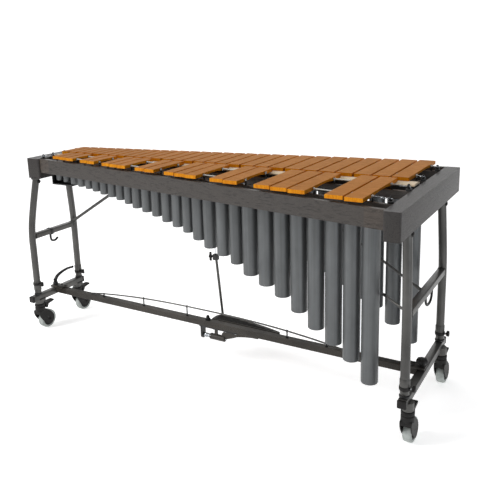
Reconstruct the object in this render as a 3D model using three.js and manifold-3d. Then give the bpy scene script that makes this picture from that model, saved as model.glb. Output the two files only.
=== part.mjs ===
// A four-octave concert vibraphone, C3 to C7, standing on four braked casters.
// Millimetres. +Z is up, +X runs towards the low notes, -Y is the audience's side, where the
// accidental bars are, and +Y is the player's side. The origin is on the floor, under the centre.
import * as THREE from "three";
import { mergeVertices } from "three/addons/utils/BufferGeometryUtils.js";
import Module from "manifold-3d";

const wasm = await Module();
wasm.setup();

// ---- Driving dimensions ----
const GAP = 0.3; // clearance between pieces that touch
const PANEL = { top: 845, bottom: 753 };
const PANEL_SPANS = {
  low: { x: [873, 927], y: [-380, 380] },
  high: { x: [-921, -845], y: [-110, 156] },
};
const INNER = { high: PANEL_SPANS.high.x[1], low: PANEL_SPANS.low.x[0] }; // faces the rails meet
const FASCIA = { thick: 15, bottom: 782, front: [-102, -366], back: [146, 378] };
const BAR = { top: 867, thick: 12.7, gap: 9, inner: 8, setback: 4 };
const NODE_SHARE = 0.224; // a free bar's still points, as a share of its length
const BAR_RAIL = { wide: 13, bottom: 812, top: 842 };
const POST = { wide: 5, top: 857 };
const CORD_RADIUS = 2.2;
const NATURAL_WIDTHS = [
  { count: 8, width: 60 },
  { count: 3, width: 54 },
  { count: 7, width: 45.5 },
  { count: 11, width: 39.5 },
];
const LOWEST_BAR_EDGE = 835; // right edge of the lowest natural
const NATURAL_STEPS = [0, 2, 4, 5, 7, 9, 11]; // semitones of C D E F G A B
const LOWEST_NOTE = 48; // C3 as a note number; A4 is 69 and sounds 440 Hz
const SPEED_OF_SOUND = 343000; // mm per second
const TUBE = { top: 786, wall: 1.3, sides: 12 };
const TUBE_DIAMETERS = [
  { count: 8, diameter: 60 },
  { count: 4, diameter: 52 },
  { count: 6, diameter: 45 },
  { count: 5, diameter: 40 },
  { count: 6, diameter: 34 },
];
const TUBE_SHARE = { accidental: 0.985, natural: 0.925 }; // tube length over a quarter wavelength
const STRIP = { thick: 4, bottom: 768, top: 784 };
const TRAY = { left: -793, right: -668, depth: 24, wall: 3, bottom: 728 };
const LEG = { x: 910, radius: 15.5, bore: 12.8, foot: 209, bend: 496, sides: 12 };
const LEG_Y = { low: { foot: 231, top: 217 }, high: { foot: 134, top: 96 } };
const LEG_HEAD_X = { low: 900, high: -886 };
const COLLAR = { radius: 19, tall: 44 };
const CLAMP_HEIGHT = { low_front: 218, low_back: 218, high_front: 240, high_back: 218 };
const INNER_TUBE = { radius: 12, top: 409, flange: 18, flangeTall: 9 };
const CROSSBAR = { wide: 28, bottom: 462, top: 486 };
const BASE = { wide: 30, bottom: 157, top: 185 };
const BASE_Y = { low: [-265, 279], high: [-179, 156] };
const BEAM = { front: -38, back: -8, bottom: 164, top: 190 };
const TRUSS = { rise: 231, left: -670, right: 600, radius: 3.2 };
const PEDAL_AXIS = { y: -20, z: 118 };
const PEDAL = { left: 6, right: 330, near: -4, far: 50, farRight: 8, top: 192, thick: 8 };
const ROD = { x: 17, foot: 138, clamp: 470, top: 826, yAtZero: 88, lean: -0.127 };
const ROD_RADIUS = { lower: 5.5, bore: 3.9, upper: 2.8 };
const DAMPER = { left: -838, right: 866, bottom: 830, top: 845.4, felt: 853.9 };
const DAMPER_HALF = { high: 19.5, low: 34 };
const CASTER = { x: 920, inset: 10, wheel: 44, tyreWide: 32, trail: 36, headTop: 134 };

const ENDS = ["low", "high"];
const SIDES = ["front", "back"];

// ---- Solids, joins and cuts ----
// A closed geometry as a solid that can be joined and cut.
function solid(geometry) {
  const bare = new THREE.BufferGeometry();
  const flat = geometry.index ? geometry.toNonIndexed() : geometry;
  bare.setAttribute("position", flat.getAttribute("position"));
  const merged = mergeVertices(bare, 1e-3);
  return new wasm.Manifold(
    new wasm.Mesh({
      numProp: 3,
      vertProperties: new Float32Array(merged.attributes.position.array),
      triVerts: new Uint32Array(merged.index.array),
    }),
  );
}

// A solid's surface as a geometry for a mesh.
function surface(made) {
  const mesh = made.getMesh();
  const geometry = new THREE.BufferGeometry();
  geometry.setAttribute("position", new THREE.BufferAttribute(mesh.vertProperties, 3));
  geometry.setIndex(new THREE.BufferAttribute(mesh.triVerts, 1));
  geometry.computeVertexNormals();
  return geometry;
}

const joined = (parts) => parts.reduce((whole, part) => whole.add(part));

// A block between two corners.
function block([x0, y0, z0], [x1, y1, z1]) {
  const box = new THREE.BoxGeometry(x1 - x0, y1 - y0, z1 - z0);
  box.translate((x0 + x1) / 2, (y0 + y1) / 2, (z0 + z1) / 2);
  return solid(box);
}

// A plan outline, as points or as a shape, raised from z0 to z1.
function raised(outline, z0, z1, curveSegments = 8) {
  const shape = Array.isArray(outline)
    ? new THREE.Shape(outline.map(([x, y]) => new THREE.Vector2(x, y)))
    : outline;
  const options = { depth: z1 - z0, bevelEnabled: false, curveSegments };
  return solid(new THREE.ExtrudeGeometry(shape, options).translate(0, 0, z0));
}

// A round bar between two points.
function rod(from, to, radius, sides = 8) {
  const a = new THREE.Vector3(...from);
  const b = new THREE.Vector3(...to);
  const along = new THREE.Vector3().subVectors(b, a);
  const bar = new THREE.CylinderGeometry(radius, radius, along.length(), sides);
  bar.applyQuaternion(
    new THREE.Quaternion().setFromUnitVectors(new THREE.Vector3(0, 1, 0), along.clone().normalize()),
  );
  bar.translate(...a.add(b).multiplyScalar(0.5).toArray());
  return solid(bar);
}

// A turned piece about the Z axis: [radius, z] from the bottom of the axis to its top.
function turned(profile, sides) {
  const points = profile.map(([r, z]) => new THREE.Vector2(r, z));
  return solid(new THREE.LatheGeometry(points, sides).rotateX(Math.PI / 2));
}

// A round section swept along a smooth curve through the given points.
function swept(points, radius, sides, steps) {
  const path = new THREE.CatmullRomCurve3(points.map((p) => new THREE.Vector3(...p)));
  const ring = new THREE.Shape(
    Array.from({ length: sides }, (_, i) => {
      const turn = (2 * Math.PI * i) / sides;
      return new THREE.Vector2(radius * Math.cos(turn), radius * Math.sin(turn));
    }),
  );
  return solid(new THREE.ExtrudeGeometry(ring, { steps, extrudePath: path, bevelEnabled: false }));
}

// ---- Lines that run the length of the instrument ----
// A straight line in plan from its value at the high-end panel to its value at the low-end one.
const along = ([high, low]) => (x) =>
  high + ((low - high) * (x - INNER.high)) / (INNER.low - INNER.high);
const frontFace = along(FASCIA.front);
const backFace = along(FASCIA.back);
const accidentalEnd = (x) => frontFace(x) + BAR.setback;
const naturalEnd = (x) => backFace(x) - BAR.setback;
const between = (from, to, share) => from + (to - from) * share;
const NODAL_LINES = {
  accidental_outer: (x) => between(-BAR.inner, accidentalEnd(x), 1 - NODE_SHARE),
  accidental_inner: (x) => between(-BAR.inner, accidentalEnd(x), NODE_SHARE),
  natural_inner: (x) => between(BAR.inner, naturalEnd(x), NODE_SHARE),
  natural_outer: (x) => between(BAR.inner, naturalEnd(x), 1 - NODE_SHARE),
};

// ---- The notes ----
// Naturals from C3 at the right to C7 at the left, each with its centre, width and note number.
function layNaturals() {
  const bars = [];
  let edge = LOWEST_BAR_EDGE;
  for (const { count, width } of NATURAL_WIDTHS) {
    for (let i = 0; i < count; i += 1) {
      const octave = Math.floor(bars.length / 7);
      const note = LOWEST_NOTE + 12 * octave + NATURAL_STEPS[bars.length % 7];
      bars.push({ x: edge - width / 2, width, note, octave });
      edge -= width + BAR.gap;
    }
  }
  return bars;
}

// The places between neighbouring naturals. One that spans a whole tone holds an accidental.
function laySpaces(naturals) {
  return naturals.slice(1).map((upper, i) => {
    const lower = naturals[i];
    return {
      x: (lower.x - lower.width / 2 + upper.x + upper.width / 2) / 2,
      width: (lower.width + upper.width) / 2,
      note: (lower.note + upper.note) / 2,
      octave: lower.octave,
      sharp: upper.note - lower.note === 2,
    };
  });
}

const naturals = layNaturals();
const spaces = laySpaces(naturals);
const sharps = spaces.filter((space) => space.sharp);

// ---- Keyboard ----
// The bars of one octave, held in line by the cord that runs through their still points.
function barSet(bars, inner, outerEnd, lines) {
  const middle = BAR.top - BAR.thick / 2;
  const plates = bars.map(({ x, width }) => {
    const left = x - width / 2;
    const right = x + width / 2;
    const outline = [
      [left, inner],
      [right, inner],
      [right, outerEnd(x)],
      [left, outerEnd(x)],
    ];
    if (outerEnd(x) < inner) outline.reverse();
    return raised(outline, BAR.top - BAR.thick, BAR.top);
  });
  const first = bars[0].x;
  const last = bars[bars.length - 1].x;
  const cords = lines.map((line) =>
    rod([first, line(first), middle], [last, line(last), middle], CORD_RADIUS, 6),
  );
  return joined([...plates, ...cords]);
}

// A bar rail along a line of still points, with a post in every gap and one past each end bar.
function barRail(line, bars) {
  const half = BAR_RAIL.wide / 2;
  const [x0, x1] = [INNER.high + GAP, INNER.low - GAP];
  const outline = [
    [x0, line(x0) - half],
    [x1, line(x1) - half],
    [x1, line(x1) + half],
    [x0, line(x0) + half],
  ];
  const places = [];
  for (const { x, width } of bars) {
    const right = x + (width + BAR.gap) / 2;
    const last = places[places.length - 1];
    if (last - right < 2 * POST.wide) places[places.length - 1] = (last + right) / 2;
    else places.push(right);
    places.push(x - (width + BAR.gap) / 2);
  }
  const w = POST.wide / 2;
  const posts = places.map((x) =>
    block([x - w, line(x) - w, BAR_RAIL.top - 1], [x + w, line(x) + w, POST.top]),
  );
  return joined([raised(outline, BAR_RAIL.bottom, BAR_RAIL.top), ...posts]);
}

// ---- Resonators ----
const quarterWave = (note) => SPEED_OF_SOUND / (4 * 440 * 2 ** ((note - 69) / 12));
const tubeDiameters = TUBE_DIAMETERS.flatMap(({ count, diameter }) => Array(count).fill(diameter));

// A bank of stopped tubes, open at the top, held together by a strip along their tops.
function resonatorBank(places, centreLine, share) {
  const outsides = [];
  const bores = [];
  places.forEach(({ x, note }, i) => {
    const radius = tubeDiameters[i] / 2;
    const bottom = TUBE.top - share * quarterWave(note);
    const y = centreLine(x);
    const dome = radius * 0.3;
    const outside = [
      [0, bottom],
      [radius * 0.72, bottom],
      [radius, bottom + dome],
      [radius, TUBE.top],
      [0, TUBE.top],
    ];
    const bore = [
      [0, bottom + dome],
      [radius - TUBE.wall, bottom + dome],
      [radius - TUBE.wall, TUBE.top + 1],
      [0, TUBE.top + 1],
    ];
    outsides.push(turned(outside, TUBE.sides).translate([x, y, 0]));
    bores.push(turned(bore, TUBE.sides).translate([x, y, 0]));
  });
  const [a, b] = [places[places.length - 1].x - 22, places[0].x + 34];
  const half = STRIP.thick / 2;
  const strip = [
    [a, centreLine(a) - half],
    [b, centreLine(b) - half],
    [b, centreLine(b) + half],
    [a, centreLine(a) + half],
  ];
  return joined([raised(strip, STRIP.bottom, STRIP.top), ...outsides]).subtract(joined(bores));
}

// ---- Frame ----
// An end panel with its corners rounded.
function endPanel(end) {
  const [left, right] = PANEL_SPANS[end].x;
  const [front, back] = PANEL_SPANS[end].y;
  const radius = 7;
  const outline = new THREE.Shape();
  outline.moveTo(left + radius, front);
  outline.lineTo(right - radius, front);
  outline.absarc(right - radius, front + radius, radius, -Math.PI / 2, 0);
  outline.lineTo(right, back - radius);
  outline.absarc(right - radius, back - radius, radius, 0, Math.PI / 2);
  outline.lineTo(left + radius, back);
  outline.absarc(left + radius, back - radius, radius, Math.PI / 2, Math.PI);
  outline.lineTo(left, front + radius);
  outline.absarc(left + radius, front + radius, radius, Math.PI, 1.5 * Math.PI);
  return raised(outline, PANEL.bottom, PANEL.top, 3);
}

function fascia(face, inward) {
  const [x0, x1] = [INNER.high + GAP, INNER.low - GAP];
  const corners = [
    [x0, face(x0)],
    [x1, face(x1)],
    [x1, face(x1) + inward * FASCIA.thick],
    [x0, face(x0) + inward * FASCIA.thick],
  ];
  if (inward < 0) corners.reverse();
  return raised(corners, FASCIA.bottom, PANEL.top);
}

const legX = (end) => (end === "low" ? LEG.x : -LEG.x);

// A bent leg: upright below the crossbar and leaning inwards above it, to the panel's underside.
function legTube(end, side, grow) {
  const x = legX(end);
  const headX = LEG_HEAD_X[end];
  const { foot, top } = LEG_Y[end];
  const sign = side === "front" ? -1 : 1;
  const head = PANEL.bottom - GAP;
  const line = [
    [x, sign * foot, LEG.foot],
    [x, sign * foot, LEG.bend - 90],
    [x, sign * foot, LEG.bend - 30],
    [between(x, headX, 0.12), sign * between(foot, top, 0.12), LEG.bend + 40],
    [between(x, headX, 0.5), sign * between(foot, top, 0.5), between(LEG.bend, head, 0.55)],
    [headX, sign * top, head + 8],
  ];
  const above = block([x - 50, sign * top - 60, head], [x + 50, sign * top + 60, head + 40]);
  return swept(line, LEG.radius + grow, LEG.sides, 12).subtract(above);
}

function leg(end, side) {
  const x = legX(end);
  const y = (side === "front" ? -1 : 1) * LEG_Y[end].foot;
  const collar = rod([x, y, LEG.foot], [x, y, LEG.foot + COLLAR.tall], COLLAR.radius, LEG.sides);
  const bore = rod([x, y, LEG.foot - 2], [x, y, INNER_TUBE.top + 4], LEG.bore, 16);
  return legTube(end, side, 0).add(collar).subtract(bore);
}

function legCrossbar(end) {
  const x = legX(end);
  const reach = LEG_Y[end].foot;
  const half = CROSSBAR.wide / 2;
  const span = block([x - half, -reach, CROSSBAR.bottom], [x + half, reach, CROSSBAR.top]);
  const coped = SIDES.map((side) => legTube(end, side, GAP));
  const bar = coped.reduce((rest, tube) => rest.subtract(tube), span);
  const hookPoints = [
    [x, -24, CROSSBAR.bottom + 4],
    [x, -24, CROSSBAR.bottom - 28],
    [x, -8, CROSSBAR.bottom - 42],
    [x, 18, CROSSBAR.bottom - 34],
  ];
  return bar.add(swept(hookPoints, 4.5, 6, 8));
}

function innerTube(end, side) {
  const x = legX(end);
  const y = (side === "front" ? -1 : 1) * LEG_Y[end].foot;
  const foot = BASE.top + GAP;
  const profile = [
    [0, foot],
    [INNER_TUBE.flange, foot],
    [INNER_TUBE.flange, foot + INNER_TUBE.flangeTall],
    [INNER_TUBE.radius, foot + INNER_TUBE.flangeTall],
    [INNER_TUBE.radius, INNER_TUBE.top],
    [0, INNER_TUBE.top],
  ];
  return turned(profile, 16).translate([x, y, 0]);
}

// A clamp knob on the +X side of a leg's collar: stem, grip and three lobes.
function clampKnob(end, side) {
  const x = legX(end) + COLLAR.radius + GAP;
  const y = (side === "front" ? -1 : 1) * LEG_Y[end].foot;
  const z = CLAMP_HEIGHT[`${end}_${side}`];
  const stem = rod([x, y, z], [x + 6, y, z], 4, 8);
  const grip = rod([x + 5, y, z], [x + 17, y, z], 8, 10);
  const lobes = [0, 1, 2].map((i) => {
    const turn = (2 * Math.PI * i) / 3 + Math.PI / 2;
    const [cy, cz] = [y + 8 * Math.cos(turn), z + 8 * Math.sin(turn)];
    return rod([x + 6, cy, cz], [x + 16, cy, cz], 5, 8);
  });
  return joined([stem, grip, ...lobes]);
}

// A base beam, with the two arms that carry its casters outboard of the legs.
function baseBeam(end) {
  const x = legX(end);
  const [front, back] = BASE_Y[end];
  const half = BASE.wide / 2;
  const beam = block([x - half, front, BASE.bottom], [x + half, back, BASE.top]);
  return joined([beam, ...SIDES.map((side) => casterArm(end, side))]);
}

const casterPlace = (end, side) => [
  (end === "low" ? 1 : -1) * CASTER.x,
  (side === "front" ? -1 : 1) * (LEG_Y[end].foot - CASTER.inset),
];

function casterArm(end, side) {
  const [x, y] = casterPlace(end, side);
  const inner = Math.sign(x) * (LEG.x - BASE.wide / 2);
  const x0 = Math.min(inner, x);
  const x1 = Math.max(inner, x);
  const top = BASE.bottom + 10;
  const arm = block([x0, y - 20, BASE.bottom - 8], [x1, y + 20, top]);
  const boss = rod([x, y, CASTER.headTop + GAP], [x, y, top], 20, 16);
  return arm.add(boss);
}

// The long foot beam with its end brackets, which stand on the two base beams.
function crossbeam() {
  const reach = LEG.x - BASE.wide / 2 - GAP;
  const beam = block([-reach, BEAM.front, BEAM.bottom], [reach, BEAM.back, BEAM.top]);
  const brackets = [-1, 1].map((side) => {
    const inner = side * (reach - 46);
    const outer = side * (LEG.x + BASE.wide / 2);
    const x0 = Math.min(inner, outer);
    const x1 = Math.max(inner, outer);
    return block([x0, BEAM.front - 6, BEAM.top - 1], [x1, BEAM.back + 6, BEAM.top + 8]);
  });
  return joined([beam, ...brackets]);
}

// The curved lever that locks the crossbeam to the high-end base.
function lockLever() {
  const x = -LEG.x;
  const top = BEAM.top + 8 + GAP;
  const foot = rod([x, -23, top], [x, -23, top + 12], 12, 10);
  const arm = swept(
    [
      [x, -23, top + 4],
      [x, -20, top + 28],
      [x, 2, top + 46],
      [x, 55, top + 53],
      [x, 104, top + 38],
    ],
    6,
    6,
    12,
  );
  return foot.add(arm);
}

function lockKnob() {
  const x = LEG.x;
  const top = BEAM.top + 8 + GAP;
  const profile = [
    [0, top],
    [8, top],
    [8, top + 8],
    [19, top + 10],
    [21, top + 20],
    [17, top + 27],
    [0, top + 27],
  ];
  return turned(profile, 12).translate([x, -23, 0]);
}

// A thin bowed rod over the beam, on short posts, that stiffens it.
function trussRod() {
  const y = (BEAM.front + BEAM.back) / 2;
  const span = TRUSS.right - TRUSS.left;
  const low = BEAM.top + GAP + TRUSS.radius;
  const height = (x) => {
    const u = (2 * (x - TRUSS.left)) / span - 1;
    return low + (TRUSS.rise - low) * (1 - Math.abs(u) ** 2.4);
  };
  const stations = Array.from({ length: 9 }, (_, i) => TRUSS.left + (span * i) / 8);
  const bow = swept(stations.map((x) => [x, y, height(x)]), TRUSS.radius, 6, 24);
  const posts = [-590, -350, -110, 375, 545].map((x) =>
    rod([x, y, BEAM.top + GAP], [x, y, height(x)], 3, 6),
  );
  return joined([bow, ...posts]);
}

// ---- Damper and pedal ----
const damperHalf = along([DAMPER_HALF.high, DAMPER_HALF.low]);

function damperPlate(inset, z0, z1) {
  const [a, b] = [DAMPER.left, DAMPER.right];
  const outline = [
    [a, inset - damperHalf(a)],
    [b, inset - damperHalf(b)],
    [b, damperHalf(b) - inset],
    [a, damperHalf(a) - inset],
  ];
  return raised(outline, z0, z1);
}

// The damper bar, with the eye under it that the pull rod hooks into.
function damperBar() {
  const y = ROD.yAtZero + ROD.lean * ROD.top;
  const ear = (x) => block([x - 2, y - 24, DAMPER.bottom - 16], [x + 2, y + 8, DAMPER.bottom + 1]);
  return joined([damperPlate(0, DAMPER.bottom, DAMPER.top), ear(ROD.x - 8), ear(ROD.x + 8)]);
}

const damperFelt = () => damperPlate(2, DAMPER.top + GAP, DAMPER.felt);

const rodPoint = (z) => [ROD.x, ROD.yAtZero + ROD.lean * z, z];

function pullRodLower() {
  const [x, y] = rodPoint(ROD.clamp);
  const tube = rod(rodPoint(ROD.foot), rodPoint(ROD.clamp), ROD_RADIUS.lower, 12);
  const clamp = block([x - 11, y - 9, ROD.clamp - 24], [x + 11, y + 10, ROD.clamp + 1]);
  const bore = rod(rodPoint(ROD.foot + 60), rodPoint(ROD.clamp + 4), ROD_RADIUS.bore, 12);
  return tube.add(clamp).subtract(bore);
}

const pullRodUpper = () => rod(rodPoint(ROD.clamp - 140), rodPoint(ROD.top), ROD_RADIUS.upper, 8);

function wingKnob() {
  const [x, y] = [ROD.x - 11 - GAP, rodPoint(ROD.clamp)[1]];
  const z = ROD.clamp - 12;
  const stem = rod([x, y, z], [x - 10, y, z], 3.5, 8);
  const hub = rod([x - 9, y, z], [x - 22, y, z], 7, 8);
  const wings = block([x - 19, y - 5, z - 20], [x - 12, y + 5, z + 20]);
  return joined([stem, hub, wings]);
}

// The hanger under the beam that carries the pedal's pin: a top plate and one ear.
function pedalBracket() {
  const top = BEAM.bottom - GAP;
  const plate = block([-40, BEAM.front + 2, top - 5], [150, BEAM.back - 2, top]);
  const { y, z } = PEDAL_AXIS;
  const ear = block([-34, y - 16, z - 14], [-26, y + 12, top - 1]);
  const pin = rod([-30, y, z], [88, y, z], 5, 10);
  return joined([plate, ear, pin]);
}

// The foot plate behind the beam, its arched arm under the beam, and its hub on the pin.
function pedal() {
  const { left, right, near, far, farRight, top, thick } = PEDAL;
  const plan = new THREE.Shape();
  plan.moveTo(left, near);
  plan.lineTo(right, near);
  plan.lineTo(right, farRight - 6);
  plan.quadraticCurveTo(right - 2, farRight, right - 12, farRight + 2);
  plan.quadraticCurveTo(190, far - 6, 70, far);
  plan.lineTo(left + 30, far);
  plan.quadraticCurveTo(left, far, left, far - 30);
  const plate = raised(plan, top - thick, top, 4);
  const { y, z } = PEDAL_AXIS;
  const hub = rod([8, y, z], [80, y, z], 13, 12);
  const arch = new THREE.Shape();
  arch.moveTo(30, z - 12);
  arch.quadraticCurveTo(100, z + 2, 140, z + 22);
  arch.quadraticCurveTo(190, z + 34, 240, z + 36);
  arch.lineTo(240, z + 40);
  arch.lineTo(30, z + 40);
  const web = new THREE.ExtrudeGeometry(arch, { depth: 9, bevelEnabled: false, curveSegments: 4 });
  web.rotateX(Math.PI / 2).translate(0, y + 4.5, 0);
  const shelf = block([30, y - 4, z + 34], [240, near + 12, z + 40]);
  const riser = block([30, near + 2, z + 34], [240, near + 12, top - 1]);
  const lug = block([ROD.x - 3, far - 22, ROD.foot + 4], [ROD.x + 3, far - 8, top - 1]);
  const bore = rod([4, y, z], [94, y, z], 5.4, 16);
  const finger = block([ROD.x - 3, far - 14, ROD.foot + 2], [ROD.x + 3, far + 8, ROD.foot + 12]);
  return joined([plate, hub, solid(web), shelf, riser, lug, finger]).subtract(bore);
}

// ---- Casters ----
// Each is drawn about its own swivel axis with the wheel trailing towards +Y, then turned and set.
function casterFork() {
  const { wheel, tyreWide, trail, headTop } = CASTER;
  const half = tyreWide / 2 + 4.6;
  const head = rod([0, 0, 2 * wheel + 5], [0, 0, headTop], 24, 14);
  const cheeks = [-1, 1].map((side) => {
    const cheek = new THREE.Shape();
    cheek.moveTo(-22, 2 * wheel + 12);
    cheek.lineTo(-22, 2 * wheel - 10);
    cheek.lineTo(trail - 11, wheel - 9);
    cheek.absarc(trail, wheel, 14, -2.3, 0.4);
    cheek.lineTo(24, 2 * wheel + 12);
    const plate = new THREE.ExtrudeGeometry(cheek, { depth: 4, bevelEnabled: false, curveSegments: 4 });
    plate.rotateX(Math.PI / 2).rotateZ(Math.PI / 2);
    plate.translate(side > 0 ? half - 4 : -half, 0, 0);
    return solid(plate);
  });
  const bridge = block([-half, -22, 2 * wheel + 4], [half, 24, 2 * wheel + 12]);
  const axle = rod([-half, trail, wheel], [half, trail, wheel], 4, 12);
  return joined([head, ...cheeks, bridge, axle]);
}

function casterWheel() {
  const { wheel, tyreWide, trail } = CASTER;
  const half = tyreWide / 2;
  const profile = [
    [4.4, -half],
    [wheel - 10, -half],
    [wheel - 4, -half],
    [wheel, -half * 0.55],
    [wheel, half * 0.55],
    [wheel - 4, half],
    [4.4, half],
    [4.4, -half],
  ];
  const points = profile.map(([r, z]) => new THREE.Vector2(r, z));
  const tyre = new THREE.LatheGeometry(points, 24).rotateZ(Math.PI / 2);
  return solid(tyre.translate(0, trail, wheel));
}

// The brake lever hinges on the fork's head and reaches back over the tyre.
function casterBrake() {
  const { headTop, trail } = CASTER;
  const z = headTop - 18;
  const profile = new THREE.Shape();
  profile.moveTo(24.6, z + 2);
  profile.lineTo(29.8, z - 14);
  profile.lineTo(36, z - 14);
  profile.lineTo(44, z + 2);
  profile.lineTo(trail + 42, z + 8);
  profile.lineTo(trail + 43, z + 14);
  profile.lineTo(44, z + 15);
  profile.lineTo(24.6, z + 16);
  const lever = new THREE.ExtrudeGeometry(profile, { depth: 26, bevelEnabled: false });
  lever.rotateX(Math.PI / 2).rotateZ(Math.PI / 2).translate(-13, 0, 0);
  return solid(lever);
}

// ---- Braces and tray ----
const braceLow = () => rod([891, -6, 476], [455, -76, 786], 4.5, 6);
const braceHigh = () => rod([-892, 112, 492], [-455, 152, 768], 7, 6);
const resonatorStay = () => rod([891, -206, 478], [806, -160, 500], 3.5, 6);

// The tray under the highest tubes of a bank, hung from the strip behind them.
function tubeTray(centreLine) {
  const { left, right, depth, wall } = TRAY;
  const y = centreLine((left + right) / 2);
  const shelf = block([left, y - depth, TRAY.bottom], [right, y + depth, TRAY.bottom + wall]);
  const backWall = block(
    [left, y + depth - wall, TRAY.bottom],
    [right, y + depth, STRIP.bottom + 6],
  );
  const ends = [left, left + 22].map((x) =>
    block([x, y - 1, STRIP.bottom], [x + wall, y + depth, STRIP.bottom + 6]),
  );
  return joined([shelf, backWall, ...ends]);
}

// ---- Assembly ----
const FINISH = {
  stain: { color: 0x45423f, roughness: 0.55, metalness: 0.0 },
  gold: { color: 0xc98f4e, roughness: 0.35, metalness: 0.85 },
  grey: { color: 0x5d6060, roughness: 0.45, metalness: 0.5 },
  steel: { color: 0x575854, roughness: 0.5, metalness: 0.5 },
  chrome: { color: 0xc8cacc, roughness: 0.15, metalness: 1.0 },
  black: { color: 0x17181a, roughness: 0.6, metalness: 0.0 },
  beam: { color: 0x3f3c36, roughness: 0.6, metalness: 0.4 },
  felt: { color: 0xcbb79c, roughness: 1.0, metalness: 0.0 },
  tyre: { color: 0x9aa09f, roughness: 0.7, metalness: 0.0 },
};

const vibraphone = new THREE.Group();

function put(name, made, finish, parent = vibraphone) {
  const mesh = new THREE.Mesh(surface(made), new THREE.MeshStandardMaterial(FINISH[finish]));
  mesh.name = name;
  parent.add(mesh);
  return mesh;
}

put("low_end_panel", endPanel("low"), "stain");
put("high_end_panel", endPanel("high"), "stain");
put("front_rail", fascia(frontFace, 1), "stain");
put("back_rail", fascia(backFace, -1), "stain");

for (const [name, line] of Object.entries(NODAL_LINES)) {
  put(`${name}_bar_rail`, barRail(line, name.startsWith("natural") ? naturals : sharps), "black");
}

for (let octave = 0; octave < 4; octave += 1) {
  const last = octave === 3 ? 4 : octave;
  const held = (bar) => bar.octave === octave || bar.octave === last;
  const { natural_inner, natural_outer, accidental_inner, accidental_outer } = NODAL_LINES;
  put(
    `natural_bars_octave_${octave + 1}`,
    barSet(naturals.filter(held), BAR.inner, naturalEnd, [natural_inner, natural_outer]),
    "gold",
  );
  put(
    `accidental_bars_octave_${octave + 1}`,
    barSet(sharps.filter(held), -BAR.inner, accidentalEnd, [accidental_inner, accidental_outer]),
    "gold",
  );
}

const accidentalCentre = (x) => between(-BAR.inner, accidentalEnd(x), 0.5);
const naturalCentre = (x) => between(BAR.inner, naturalEnd(x), 0.5);
const accidentalBank = resonatorBank(spaces, accidentalCentre, TUBE_SHARE.accidental);
put("accidental_resonators", accidentalBank.add(tubeTray(accidentalCentre)), "grey");
put("natural_resonators", resonatorBank(naturals, naturalCentre, TUBE_SHARE.natural), "grey");

put("damper_bar", damperBar(), "black");
put("damper_felt", damperFelt(), "felt");
put("pull_rod_upper", pullRodUpper(), "chrome");
put("pull_rod_lower", pullRodLower(), "steel");
put("rod_wing_knob", wingKnob(), "black");
put("pedal", pedal(), "beam");
put("pedal_bracket", pedalBracket(), "steel");

put("crossbeam", crossbeam(), "beam");
put("truss_rod", trussRod(), "steel");
put("beam_lock_lever", lockLever(), "black");
put("beam_lock_knob", lockKnob(), "black");
put("low_end_brace", braceLow(), "steel");
put("high_end_brace", braceHigh(), "steel");
put("resonator_stay", resonatorStay(), "steel");

for (const end of ENDS) {
  put(`${end}_end_base_beam`, baseBeam(end), "steel");
  put(`${end}_end_leg_crossbar`, legCrossbar(end), "steel");
  for (const side of SIDES) {
    const place = `${end}_${side}`;
    put(`${place}_leg`, leg(end, side), "steel");
    put(`${place}_inner_tube`, innerTube(end, side), "chrome");
    put(`${place}_clamp_knob`, clampKnob(end, side), "black");
    const caster = new THREE.Group();
    caster.position.set(...casterPlace(end, side), 0);
    vibraphone.add(caster);
    put(`${place}_caster_fork`, casterFork(), "black", caster);
    put(`${place}_caster_wheel`, casterWheel(), "tyre", caster);
    put(`${place}_caster_brake`, casterBrake(), "black", caster);
  }
}

export default vibraphone;
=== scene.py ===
"""A four-octave concert vibraphone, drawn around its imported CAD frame. Lengths are in millimetres."""

import math

import bmesh
import bpy
from mathutils import Matrix, Vector


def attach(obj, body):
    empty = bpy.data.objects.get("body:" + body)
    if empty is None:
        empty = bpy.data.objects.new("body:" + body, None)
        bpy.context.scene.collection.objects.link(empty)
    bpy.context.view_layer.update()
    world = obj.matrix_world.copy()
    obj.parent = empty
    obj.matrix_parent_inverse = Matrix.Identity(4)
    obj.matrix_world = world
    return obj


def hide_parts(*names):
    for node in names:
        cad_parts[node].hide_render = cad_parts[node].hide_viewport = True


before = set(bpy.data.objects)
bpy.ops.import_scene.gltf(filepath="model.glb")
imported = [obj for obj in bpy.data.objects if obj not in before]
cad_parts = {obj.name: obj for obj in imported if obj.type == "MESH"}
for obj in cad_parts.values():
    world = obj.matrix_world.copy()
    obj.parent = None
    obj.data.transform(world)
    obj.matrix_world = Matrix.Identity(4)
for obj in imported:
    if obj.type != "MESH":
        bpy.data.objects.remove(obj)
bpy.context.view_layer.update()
MM = 0.001

CAMERA_AT = (1.43661, -2.09419, 1.30783)
CAMERA_YAW, CAMERA_PITCH, CAMERA_ROLL = -0.5302218, 0.2257269, -0.0274860
CAMERA_LENS, CAMERA_SHIFT, CAMERA_REACH = 45.615744, -0.11, 60


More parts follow.
